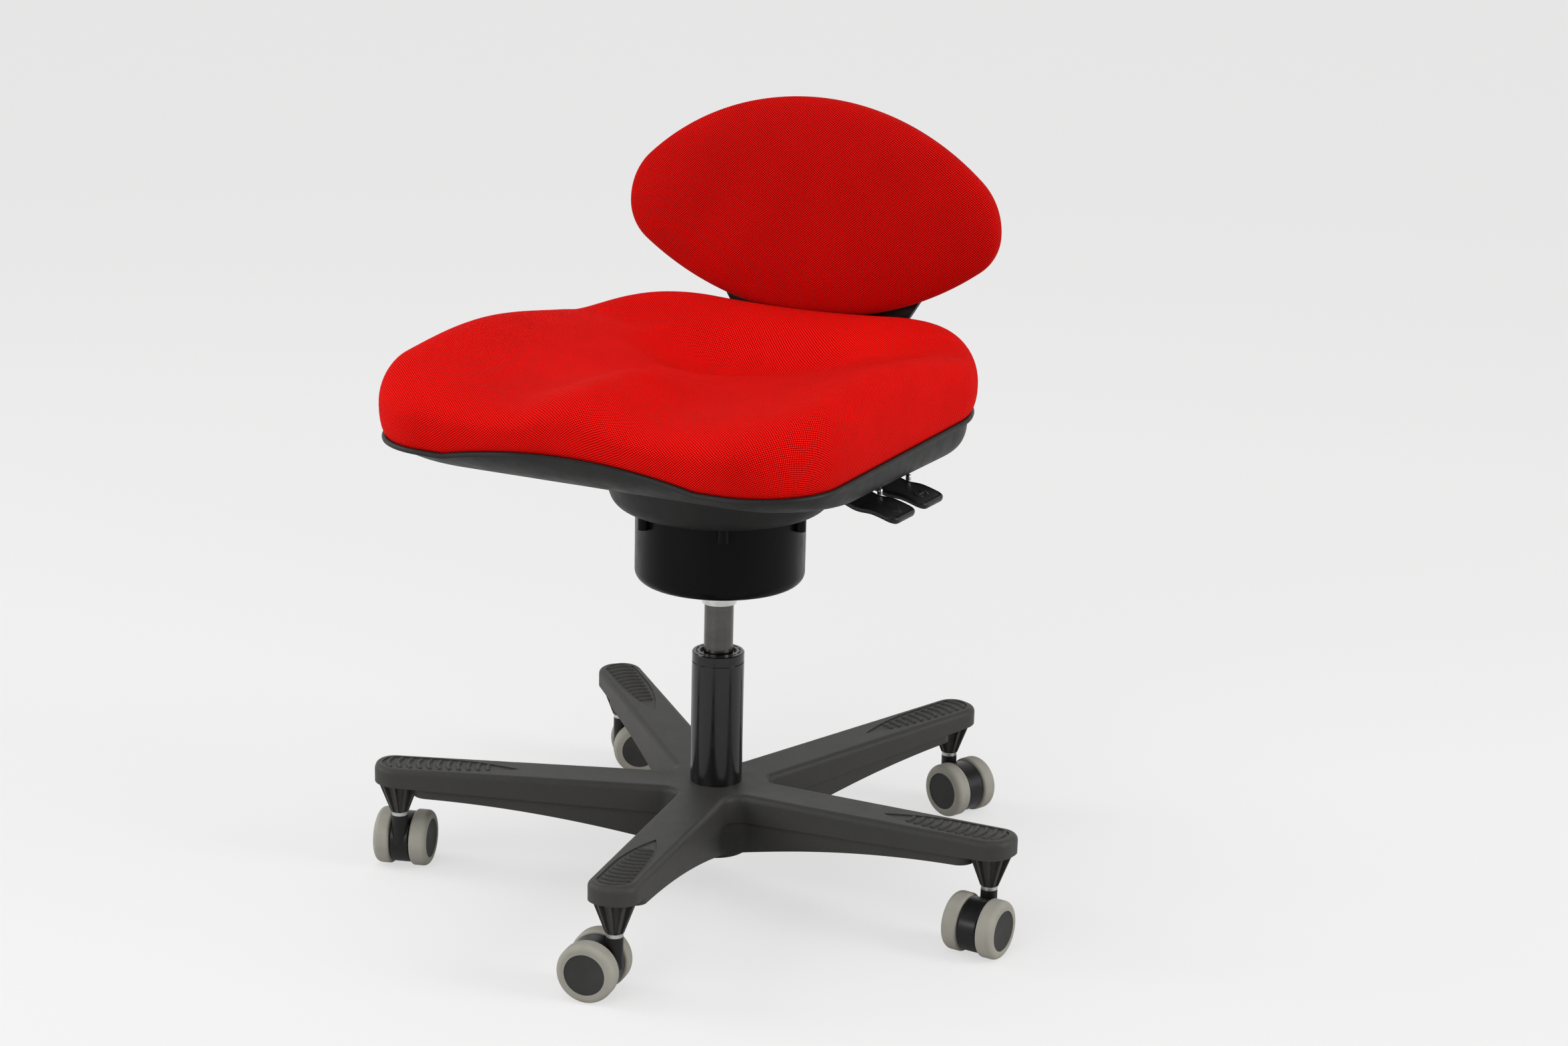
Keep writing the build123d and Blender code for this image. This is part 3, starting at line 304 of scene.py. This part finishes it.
def seat_outline(count):
    """Points and outward directions evenly spaced round the seat's rounded plan."""
    runs = []

    def side(x0, y0, x1, y1, nx, ny):
        length = math.hypot(x1 - x0, y1 - y0)
        runs.append((length, lambda t: ((x0 + (x1 - x0) * t, y0 + (y1 - y0) * t), (nx, ny))))

    def corner(x, y, radius, start):
        def at(t):
            turn = math.radians(start + 90.0 * t)
            nx, ny = math.cos(turn), math.sin(turn)
            return ((x + radius * nx, y + radius * ny), (nx, ny))

        runs.append((radius * math.pi / 2, at))

    front_x = SEAT_HALF - FRONT_CORNER
    rear_x = SEAT_HALF - REAR_CORNER
    front_y = -SEAT_FRONT + FRONT_CORNER
    rear_y = SEAT_REAR - REAR_CORNER
    side(0, SEAT_REAR, -rear_x, SEAT_REAR, 0, 1)
    corner(-rear_x, rear_y, REAR_CORNER, 90.0)
    side(-SEAT_HALF, rear_y, -SEAT_HALF, front_y, -1, 0)
    corner(-front_x, front_y, FRONT_CORNER, 180.0)
    side(-front_x, -SEAT_FRONT, front_x, -SEAT_FRONT, 0, -1)
    corner(front_x, front_y, FRONT_CORNER, 270.0)
    side(SEAT_HALF, front_y, SEAT_HALF, rear_y, 1, 0)
    corner(rear_x, rear_y, REAR_CORNER, 0.0)
    side(rear_x, SEAT_REAR, 0, SEAT_REAR, 0, 1)
    total = sum(length for length, _ in runs)
    made = []
    for number in range(count):
        way = total * number / count
        for length, at in runs:
            if way <= length:
                break
            way -= length
        made.append(at(way / length))
    return made


def rim_height(x, y):
    """Height of the line where the cushion meets the pan, with its arch at the front."""
    line = RIM_FRONT + RIM_RISE * (y + SEAT_FRONT) / (SEAT_FRONT + SEAT_REAR)
    if abs(x) < ARCH_HALF and y < ARCH_END:
        radius = (ARCH_HALF ** 2 + ARCH_RISE ** 2) / (2.0 * ARCH_RISE)
        line = max(line, RIM_FRONT + math.sqrt(radius ** 2 - x ** 2) - radius + ARCH_RISE)
    return line


def seat_top(x, y):
    """Height of the seat's top."""
    side = abs(x) / SEAT_HALF
    wing = WING_RISE * side ** 2 * math.exp(-(((y - WING_Y) / WING_RUN) ** 2))
    rear = REAR_RISE * ease((y - REAR_START) / REAR_RUN)
    away = math.hypot(x / HOLLOW_HALF, (y - HOLLOW_Y) / HOLLOW_RUN)
    hollow = HOLLOW_DEPTH * (1.0 - ease((away - 0.28) / 0.76))
    ridge = RIDGE_RISE * math.exp(-((x / RIDGE_WIDTH) ** 2)) * ease((RIDGE_START - y) / RIDGE_RUN)
    return SEAT_TOP + SIDE_RISE * side ** 2 + wing + rear + ridge - hollow


def run_lengths(rings, step, first):
    """Lengths along one profile from ring number first outwards, for each ring below it."""
    lengths = {first: 0.0}
    for ring in range(first - 1, -1, -1):
        lengths[ring] = lengths[ring + 1] + (Vector(rings[ring][step]) - Vector(rings[ring + 1][step])).length
    return lengths


def padded_skin(name, rings, pole, flat, body, slot, node):
    """Closed pad from rings that run from its lower edge over the top to a middle point."""
    count = len(rings[0])
    points = [point for ring in rings for point in ring]
    faces = ring_faces(count, len(rings))
    middle = sum((Vector(point) for point in rings[0]), Vector()) / count
    top, bottom, last = len(points), len(points) + 1, (len(rings) - 1) * count
    points += [tuple(pole), tuple(middle)]
    for step in range(count):
        after = (step + 1) % count
        faces.append((last + step, last + after, top))
        faces.append((after, step, bottom))
    uvs = [(u * MM, v * MM) for u, v in flat]
    piece = make_piece(name, points, faces, body, slot, uvs)
    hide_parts(node)
    return piece


def seat_cushion():
    outline = seat_outline(SEAT_STEPS)
    pole = (0.0, POLE_Y, seat_top(0.0, POLE_Y))
    rings = []
    shoulders = []
    for (x, y), (nx, ny) in outline:
        width = (FRONT_SHOULDER if ny < 0 else REAR_SHOULDER) * ny ** 2 + SIDE_SHOULDER * nx ** 2
        inner = (x - nx * (width - BULGE), y - ny * (width - BULGE))
        low = rim_height(x, y)
        shoulders.append((width, low, low + WAIST_SHARE * (seat_top(*inner) - low)))
    for turn in range(-90, 1, 15):
        angle = math.radians(turn)
        ring = []
        for ((x, y), (nx, ny)), (_, low, waist) in zip(outline, shoulders):
            out = BULGE - TUCK * (1.0 - math.cos(angle))
            ring.append((x + nx * out, y + ny * out, waist + (waist - low) * math.sin(angle)))
        rings.append(ring)
    for turn in range(5, 91, 5):
        angle = math.radians(turn)
        rise = math.sin(angle) ** SHOULDER_POWER
        fall = max(math.cos(angle), 0.0) ** SHOULDER_POWER
        ring = []
        for ((x, y), (nx, ny)), (width, _, waist) in zip(outline, shoulders):
            out = BULGE - width * (1.0 - fall)
            px, py = x + nx * out, y + ny * out
            ring.append((px, py, waist + (seat_top(px, py) - waist) * rise))
        rings.append(ring)
    edge, shoulder = rings[-1], len(rings) - 1
    for number in range(1, TOP_RINGS):
        share = number / TOP_RINGS
        ring = []
        for x, y, _ in edge:
            px, py = x + (pole[0] - x) * share, y + (pole[1] - y) * share
            ring.append((px, py, seat_top(px, py)))
        rings.append(ring)
    flat = [(x, y) for ring in rings for x, y, _ in ring] + [pole[:2], pole[:2]]
    count = len(outline)
    for step, (_, (nx, ny)) in enumerate(outline):
        for ring, length in run_lengths(rings, step, shoulder).items():
            flat[ring * count + step] = (edge[step][0] + nx * length, edge[step][1] + ny * length)
    return padded_skin("seat_pad", rings, pole, flat, "seat", "seat_fabric", "seat_cushion")


seat_pad = seat_cushion()


# Back cushion: a domed oval pad with round tips
BACK_HALF = 199.0
BACK_TOP = 734.0
BACK_TIP = 618.0
BACK_BOTTOM = 523.0
UPPER_ROUND = 65.0
LOWER_ROUND = 45.0
BACK_REAR = 188.0
EDGE_ROUND = 19.0
DOME = 20.5
BACK_MIDDLE = 624.0
BACK_SEAT_GAP = 0.3
BACK_STEPS = 360
DOME_RINGS = 48


def back_outline(count):
    """Points round the back's outline, as x and z, by turns about its middle."""
    rise, drop = BACK_TOP - BACK_TIP, BACK_TIP - BACK_BOTTOM
    dome = ((BACK_HALF - UPPER_ROUND) ** 2 + rise ** 2 - UPPER_ROUND ** 2) / (2 * (rise - UPPER_ROUND))
    sag = ((BACK_HALF - LOWER_ROUND) ** 2 + drop ** 2 - LOWER_ROUND ** 2) / (2 * (drop - LOWER_ROUND))
    circles = (
        (0.0, BACK_TOP - dome, dome),
        (0.0, BACK_BOTTOM + sag, sag),
        (BACK_HALF - UPPER_ROUND, BACK_TIP, UPPER_ROUND),
        (BACK_HALF - LOWER_ROUND, BACK_TIP, LOWER_ROUND),
    )
    dome_turn = math.asin((BACK_HALF - UPPER_ROUND) / (dome - UPPER_ROUND))
    sag_turn = math.asin((BACK_HALF - LOWER_ROUND) / (sag - LOWER_ROUND))
    arcs = (
        (circles[2], 0.0, math.pi / 2 - dome_turn),
        (circles[0], math.pi / 2 - dome_turn, math.pi / 2 + dome_turn),
        ((-circles[2][0], BACK_TIP, UPPER_ROUND), math.pi / 2 + dome_turn, math.pi),
        ((-circles[3][0], BACK_TIP, LOWER_ROUND), math.pi, 1.5 * math.pi - sag_turn),
        (circles[1], 1.5 * math.pi - sag_turn, 1.5 * math.pi + sag_turn),
        (circles[3], 1.5 * math.pi + sag_turn, 2.0 * math.pi),
    )
    total = sum(circle[2] * (end - start) for circle, start, end in arcs)
    made = []
    for number in range(count):
        way = total * number / count
        for (x, z, radius), start, end in arcs:
            length = radius * (end - start)
            if way <= length:
                break
            way -= length
        turn = start + way / radius
        made.append((x + radius * math.cos(turn), z + radius * math.sin(turn)))
    return made


def back_cushion():
    outline = back_outline(BACK_STEPS)
    centre = (0.0, BACK_MIDDLE)
    rings = []

    def ring_at(scale, y):
        middle_x, middle_z = centre
        return [(middle_x + (x - middle_x) * scale, y, middle_z + (z - middle_z) * scale) for x, z in outline]

    rear = BACK_REAR - BACK_SEAT_GAP
    for turn in range(-90, 1, 10):
        angle = math.radians(turn)
        scale = 1.0 - 0.04 * (1.0 - math.cos(angle))
        rings.append(ring_at(scale, rear - EDGE_ROUND - EDGE_ROUND * math.sin(angle)))
    for number in range(1, DOME_RINGS):
        share = number / DOME_RINGS
        near = share ** 1.8
        dome = DOME * (1.0 - (1.0 - near) ** 3.0) ** (1 / 2.1)
        rings.append(ring_at(1.0 - near * 0.985, rear - EDGE_ROUND - dome))
    pole = (centre[0], rear - EDGE_ROUND - DOME, centre[1])
    flat = [(x, z) for ring in rings for x, _, z in ring] + [centre, centre]
    count = len(outline)
    start = len(rings) - 12
    for step in range(count):
        x, _, z = rings[start][step]
        out = Vector((x - centre[0], z - centre[1])).normalized()
        for ring, length in run_lengths(rings, step, start).items():
            flat[ring * count + step] = (x + out.x * length, z + out.y * length)
    return padded_skin("back_pad", rings, pole, flat, "backrest", "back_fabric", "back_cushion")


back_pad = back_cushion()


# Ridged foot pads near the tips of the base's arms
PAD_FLOOR = 93.8
ARM_RISE = 16.0
ARM_ROOT = 48.0
ARM_RUN = 279.0
ARMS = 5
FIRST_ARM = -150.0
GRIP_COUNT = 11
GRIP_REACH = 314.5
GRIP_PITCH = 9.5
GRIP_BOW = 24.0
GRIP_HALF = 13.4
GRIP_WIDTH, GRIP_HEIGHT, GRIP_SINK = 1.8, 2.1, 0.25


def pad_floor(reach):
    return PAD_FLOOR + ARM_RISE * (reach - ARM_ROOT) / ARM_RUN


def foot_ridges():
    points, faces = [], []
    steps, sides = 40, 11
    for arm in range(ARMS):
        turn = math.radians(FIRST_ARM + 360.0 / ARMS * arm)
        for number in range(GRIP_COUNT):
            apex = GRIP_REACH - GRIP_PITCH * number
            half = GRIP_HALF - 0.06 * number ** 2
            sweep = math.asin(half / GRIP_BOW)
            start = len(points)
            for step in range(steps + 1):
                share = 2.0 * step / steps - 1.0
                angle = sweep * share
                end = max(1.0 - abs(share) ** 14, 0.0)
                bead = 1.0 + 0.3 * math.exp(-(((abs(share) - 0.92) / 0.08) ** 2))
                width = GRIP_WIDTH * bead * math.sqrt(0.1 + 0.9 * end)
                height = GRIP_HEIGHT * bead * math.sqrt(end)
                for side in range(sides):
                    across = math.pi * side / (sides - 1)
                    radius = GRIP_BOW + width * math.cos(across)
                    along = apex - GRIP_BOW + radius * math.cos(angle)
                    aside = radius * math.sin(angle)
                    lift = pad_floor(math.hypot(along, aside)) - GRIP_SINK + height * math.sin(across)
                    points.append(
                        (
                            along * math.cos(turn) - aside * math.sin(turn),
                            along * math.sin(turn) + aside * math.cos(turn),
                            lift,
                        )
                    )
            for step in range(steps):
                for side in range(sides - 1):
                    a = start + step * sides + side
                    faces.append((a, a + 1, a + sides + 1, a + sides))
    return make_piece("foot_pad_ridges", points, faces, "base", "base_nylon")


foot_ridges()


# Lever paddles: a curved grip with a raised border and a plain arrow
LEVER_X, LEVER_Z = 166.0, 421.5
ARROW_WIDTH, ARROW_RISE = 1.5, 0.55
HEIGHT_LEVER_Y, BACK_LEVER_Y = -81.0, -21.0
LEVER_LINE = ((-6.3, 0.0), (7.56, -0.28), (23.94, -5.88), (40.32, -7.28), (63.0, -14.0))


def lever_line(count):
    """Even samples of a smooth line through the lever's points, as x and z from its pivot."""
    made = []
    slopes = []
    for number, (x, z) in enumerate(LEVER_LINE):
        x0, z0 = LEVER_LINE[max(number - 1, 0)]
        x1, z1 = LEVER_LINE[min(number + 1, len(LEVER_LINE) - 1)]
        slopes.append((z1 - z0) / (x1 - x0))
    for step in range(count):
        x = LEVER_LINE[0][0] + (LEVER_LINE[-1][0] - LEVER_LINE[0][0]) * step / (count - 1)
        number = max(index for index in range(len(LEVER_LINE) - 1) if LEVER_LINE[index][0] <= x + 1e-6)
        (x0, z0), (x1, z1) = LEVER_LINE[number], LEVER_LINE[number + 1]
        run, t = x1 - x0, (x - x0) / (x1 - x0)
        z = (
            z0 * (1 + 2 * t) * (1 - t) ** 2
            + run * slopes[number] * t * (1 - t) ** 2
            + z1 * t * t * (3 - 2 * t)
            + run * slopes[number + 1] * t * t * (t - 1)
        )
        made.append((x, z))
    return made


def stroke(x, y, line, width):
    """Height share of a raised stroke along a line of points."""
    best = 1e9
    for (x0, y0), (x1, y1) in zip(line, line[1:]):
        length = (x1 - x0) ** 2 + (y1 - y0) ** 2
        share = min(max(((x - x0) * (x1 - x0) + (y - y0) * (y1 - y0)) / length, 0.0), 1.0)
        best = min(best, math.hypot(x - x0 - (x1 - x0) * share, y - y0 - (y1 - y0) * share))
    return 1.0 - ease((best - width * 0.5) / (width * 0.6))


def lever(name, centre, body, node, arrows):
    line = lever_line(112)
    half, thick, corner, tip = 23.0, 3.0, 2.6, 9.0
    across_steps, under_steps, edge_steps = 72, 24, 8
    points = []
    for step, (x, z) in enumerate(line):
        before, after = line[max(step - 1, 0)], line[min(step + 1, len(line) - 1)]
        along = Vector((after[0] - before[0], after[1] - before[1])).normalized()
        up = (-along.y, along.x)
        left = LEVER_LINE[-1][0] - x
        width = half if left > tip else half - tip + math.sqrt(max(tip ** 2 - (tip - left) ** 2, 0.0))
        start = x - LEVER_LINE[0][0]
        nose = math.sqrt(max(1.0 - (1.0 - min(left, start, 2.4) / 2.4) ** 2, 0.0))
        deep = thick * (0.25 + 0.75 * nose)
        loop = []
        for number in range(across_steps + 1):
            y = (width - corner) * (2.0 * number / across_steps - 1.0)
            edge = min(width - abs(y), left, start - 8.0)
            dish = -0.8 * ease((edge - 2.6) / 1.6)
            mark = max(stroke(x, y, arrow, ARROW_WIDTH) for arrow in arrows) * ARROW_RISE
            loop.append((y, deep + (dish + mark) * nose))
        for number in range(1, edge_steps):
            angle = math.pi * (0.5 - number / edge_steps)
            loop.append((width - corner + corner * math.cos(angle), deep * math.sin(angle)))
        for number in range(under_steps + 1):
            loop.append(((width - corner) * (1.0 - 2.0 * number / under_steps), -deep))
        for number in range(1, edge_steps):
            angle = math.pi * (0.5 - number / edge_steps)
            loop.append((-(width - corner) - corner * math.cos(angle), -deep * math.sin(angle)))
        for y, lift in loop:
            points.append((LEVER_X + x + up[0] * lift, centre + y, LEVER_Z + z + up[1] * lift))
    count = len(points) // len(line)
    faces = [tuple(reversed(face)) for face in ring_faces(count, len(line))]
    faces.append(tuple(range(count)))
    faces.append(tuple(reversed(range(len(points) - count, len(points)))))
    piece = make_piece(name, points, faces, body, "lever_plastic")
    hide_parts(node)


up_arrow = (((40.0, 0.0), (55.0, 0.0)), ((50.0, -5.0), (55.0, 0.0), (50.0, 5.0)))
two_arrow = (
    ((47.5, -9.0), (47.5, 9.0)),
    ((44.0, -5.5), (47.5, -9.0), (51.0, -5.5)),
    ((44.0, 5.5), (47.5, 9.0), (51.0, 5.5)),
)
lever("height_paddle", HEIGHT_LEVER_Y, "front_lever", "height_lever", up_arrow)
lever("back_paddle", BACK_LEVER_Y, "rear_lever", "back_lever", two_arrow)


# Lip along the pan's upper edge
def pan_lip():
    outline = seat_outline(SEAT_STEPS)
    profile = ((-2.6, -1.2), (-2.2, 0.6), (-0.8, 1.1), (0.9, 0.9), (1.9, -0.2), (2.1, -1.8), (1.6, -3.4))
    points = []
    for across, lift in profile:
        for (x, y), (nx, ny) in outline:
            points.append((x + nx * (across + 1.0), y + ny * (across + 1.0), rim_height(x, y) + lift))
    return make_piece("pan_lip", points, ring_faces(SEAT_STEPS, len(profile)), "seat", "pan_plastic")


pan_lip()


# Hooks of the levers' return springs, and the dashes round the top of the column's cap
def turned(profile, x, y, count=20):
    """Points and faces of a turned piece about an upright axis, from radius and height."""
    points = []
    for radius, z in profile:
        for step in range(count):
            turn = 2.0 * math.pi * step / count
            points.append((x + radius * math.cos(turn), y + radius * math.sin(turn), z))
    return points, [tuple(reversed(face)) for face in ring_faces(count, len(profile))]


HOOK_X = 190.0
HOOK_Y = (-55.2, 4.8)


def spring_hooks():
    shank = ((0.9, 434.5), (0.9, 423.2))
    head = ((1.9, 422.8), (2.5, 422.0), (2.5, 417.9), (2.0, 417.2), (0.05, 417.0))
    points, faces = [], []
    for y in HOOK_Y:
        more, around = turned(shank + head, HOOK_X, y)
        faces += [tuple(index + len(points) for index in face) for face in around]
        points += more
    return make_piece("lever_spring_hooks", points, faces, "seat", "steel")


spring_hooks()


def cap_dashes():
    points, faces = [], []
    profile = ((20.2, 224.9), (20.3, 225.25), (20.85, 225.4), (21.4, 225.25), (21.5, 224.9))
    for number in range(12):
        start = len(points)
        for step in range(13):
            turn = math.radians(30.0 * number + 20.0 * step / 12.0)
            points += [(radius * math.cos(turn), radius * math.sin(turn), z) for radius, z in profile]
        for step in range(12):
            for side in range(len(profile) - 1):
                a = start + step * len(profile) + side
                faces.append((a, a + len(profile), a + len(profile) + 1, a + 1))
    return make_piece("cap_dashes", points, faces, "base", "rubber_black")


cap_dashes()


# Studio: the backdrop lies in this direction from the chair
BEHIND = (-0.454, 0.891, 0.0)


def look(position, target):
    return (Vector(target) - Vector(position)).to_track_quat("-Z", "Y")


def area_light(name, position, target, size, power):
    data = bpy.data.lights.new(name, "AREA")
    data.shape = "RECTANGLE"
    data.size, data.size_y = size
    data.energy = power
    lamp = bpy.data.objects.new(name, data)
    scene.collection.objects.link(lamp)
    lamp.location = position
    lamp.rotation_mode = "QUATERNION"
    lamp.rotation_quaternion = look(position, target)
    return lamp


area_light("key_left", (-2.7, -0.9, 1.7), (0.0, 0.0, 0.45), (1.3, 2.2), 38.0)
area_light("key_right", (2.9, 0.4, 1.5), (0.0, 0.0, 0.45), (1.1, 2.0), 57.0)
area_light("overhead", (-0.2, -0.4, 3.0), (0.0, 0.0, 0.2), (2.2, 1.8), 24.0)
area_light("front_high", (0.5, -2.6, 2.9), (0.0, 0.0, 0.4), (2.4, 1.2), 18.0)
area_light("front_low", (-0.9, -3.0, 0.9), (0.0, 0.0, 0.15), (2.4, 0.8), 30.0)


def world_light():
    world = bpy.data.worlds.new("studio")
    scene.world = world
    world.use_nodes = True
    tree = world.node_tree
    background = tree.nodes["Background"]
    path = tree.nodes.new("ShaderNodeLightPath")
    seen = tree.nodes.new("ShaderNodeMath")
    seen.operation = "MAXIMUM"
    tree.links.new(path.outputs["Is Camera Ray"], seen.inputs[0])
    tree.links.new(path.outputs["Is Transmission Ray"], seen.inputs[1])
    coordinates = tree.nodes.new("ShaderNodeTexCoord")
    toward = tree.nodes.new("ShaderNodeVectorMath")
    toward.operation = "DOT_PRODUCT"
    tree.links.new(coordinates.outputs["Generated"], toward.inputs[0])
    toward.inputs[1].default_value = BEHIND
    backdrop = tree.nodes.new("ShaderNodeMapRange")
    backdrop.interpolation_type = "SMOOTHSTEP"
    tree.links.new(toward.outputs["Value"], backdrop.inputs["Value"])
    backdrop.inputs["From Min"].default_value = 0.05
    backdrop.inputs["From Max"].default_value = 0.8
    backdrop.inputs["To Min"].default_value = 0.09
    backdrop.inputs["To Max"].default_value = 0.85
    around = tree.nodes.new("ShaderNodeMapRange")
    tree.links.new(path.outputs["Is Glossy Ray"], around.inputs["Value"])
    around.inputs["To Min"].default_value = 0.36
    tree.links.new(backdrop.outputs["Result"], around.inputs["To Max"])
    strength = tree.nodes.new("ShaderNodeMapRange")
    tree.links.new(seen.outputs[0], strength.inputs["Value"])
    tree.links.new(around.outputs["Result"], strength.inputs["To Min"])
    strength.inputs["To Max"].default_value = 0.84
    background.inputs["Color"].default_value = (1.0, 0.995, 0.995, 1.0)
    tree.links.new(strength.outputs["Result"], background.inputs["Strength"])


world_light()


def floor():
    data = bpy.data.meshes.new("floor")
    size = 14.0
    corners = [(-size, -size, 0), (size, -size, 0), (size, size, 0), (-size, size, 0)]
    data.from_pydata(corners, [], [(0, 1, 2, 3)])
    plane = bpy.data.objects.new("floor", data)
    scene.collection.objects.link(plane)
    material = bpy.data.materials.new("studio_floor")
    material.use_nodes = True
    tree = material.node_tree
    tree.nodes.remove(tree.nodes["Principled BSDF"])
    output = tree.nodes["Material Output"]
    path = tree.nodes.new("ShaderNodeLightPath")
    bounce = tree.nodes.new("ShaderNodeBsdfDiffuse")
    bounce.inputs["Color"].default_value = (0.60, 0.593, 0.593, 1.0)
    matte = tree.nodes.new("ShaderNodeBsdfDiffuse")
    glow = tree.nodes.new("ShaderNodeEmission")
    glow.inputs["Color"].default_value = (1.0, 0.99, 0.99, 1.0)
    both = tree.nodes.new("ShaderNodeAddShader")
    tree.links.new(matte.outputs[0], both.inputs[0])
    tree.links.new(glow.outputs[0], both.inputs[1])
    mix = tree.nodes.new("ShaderNodeMixShader")
    place = tree.nodes.new("ShaderNodeNewGeometry")
    reach = tree.nodes.new("ShaderNodeVectorMath")
    reach.operation = "LENGTH"
    tree.links.new(place.outputs["Position"], reach.inputs[0])
    for socket, near, far in ((matte.inputs["Color"], 0.27, 0.118), (glow.inputs["Strength"], 0.60, 0.755)):
        fade = tree.nodes.new("ShaderNodeMapRange")
        fade.interpolation_type = "SMOOTHSTEP"
        tree.links.new(reach.outputs["Value"], fade.inputs["Value"])
        fade.inputs["From Min"].default_value = 0.5
        fade.inputs["From Max"].default_value = 2.0
        fade.inputs["To Min"].default_value = near
        fade.inputs["To Max"].default_value = far
        tree.links.new(fade.outputs["Result"], socket)
    toward = tree.nodes.new("ShaderNodeVectorMath")
    toward.operation = "DOT_PRODUCT"
    tree.links.new(place.outputs["Position"], toward.inputs[0])
    toward.inputs[1].default_value = BEHIND
    behind = tree.nodes.new("ShaderNodeMapRange")
    tree.links.new(toward.outputs["Value"], behind.inputs["Value"])
    behind.inputs["From Min"].default_value = -0.3
    behind.inputs["From Max"].default_value = 0.8
    mirrored = tree.nodes.new("ShaderNodeMath")
    mirrored.operation = "MULTIPLY"
    tree.links.new(path.outputs["Is Glossy Ray"], mirrored.inputs[0])
    tree.links.new(behind.outputs["Result"], mirrored.inputs[1])
    seen = tree.nodes.new("ShaderNodeMath")
    seen.operation = "MAXIMUM"
    tree.links.new(path.outputs["Is Camera Ray"], seen.inputs[0])
    tree.links.new(mirrored.outputs[0], seen.inputs[1])
    tree.links.new(seen.outputs[0], mix.inputs["Fac"])
    tree.links.new(bounce.outputs[0], mix.inputs[1])
    tree.links.new(both.outputs[0], mix.inputs[2])
    tree.links.new(mix.outputs[0], output.inputs["Surface"])
    data.materials.append(material)
    plane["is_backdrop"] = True


floor()


def camera():
    data = bpy.data.cameras.new("camera")
    data.sensor_fit = "HORIZONTAL"
    data.sensor_width = 36.0
    data.lens = 65.02
    data.clip_end = 60.0
    piece = bpy.data.objects.new("camera", data)
    scene.collection.objects.link(piece)
    turn, tilt, roll = math.radians(27.0), math.radians(15.231), math.radians(1.411)
    back = Vector((math.sin(turn) * math.cos(tilt), -math.cos(turn) * math.cos(tilt), math.sin(tilt)))
    right = Vector((math.cos(turn), math.sin(turn), 0.0))
    up = back.cross(right)
    across = right * math.cos(roll) + up * math.sin(roll)
    upright = up * math.cos(roll) - right * math.sin(roll)
    matrix = Matrix((across, upright, back)).transposed().to_4x4()
    matrix.translation = Vector((1.22131, -2.26565, 1.05262))
    piece.matrix_world = matrix
    scene.camera = piece


camera()

plain = [[[float(value) for value in corner] for corner in box] for box in (cad_box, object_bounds())]
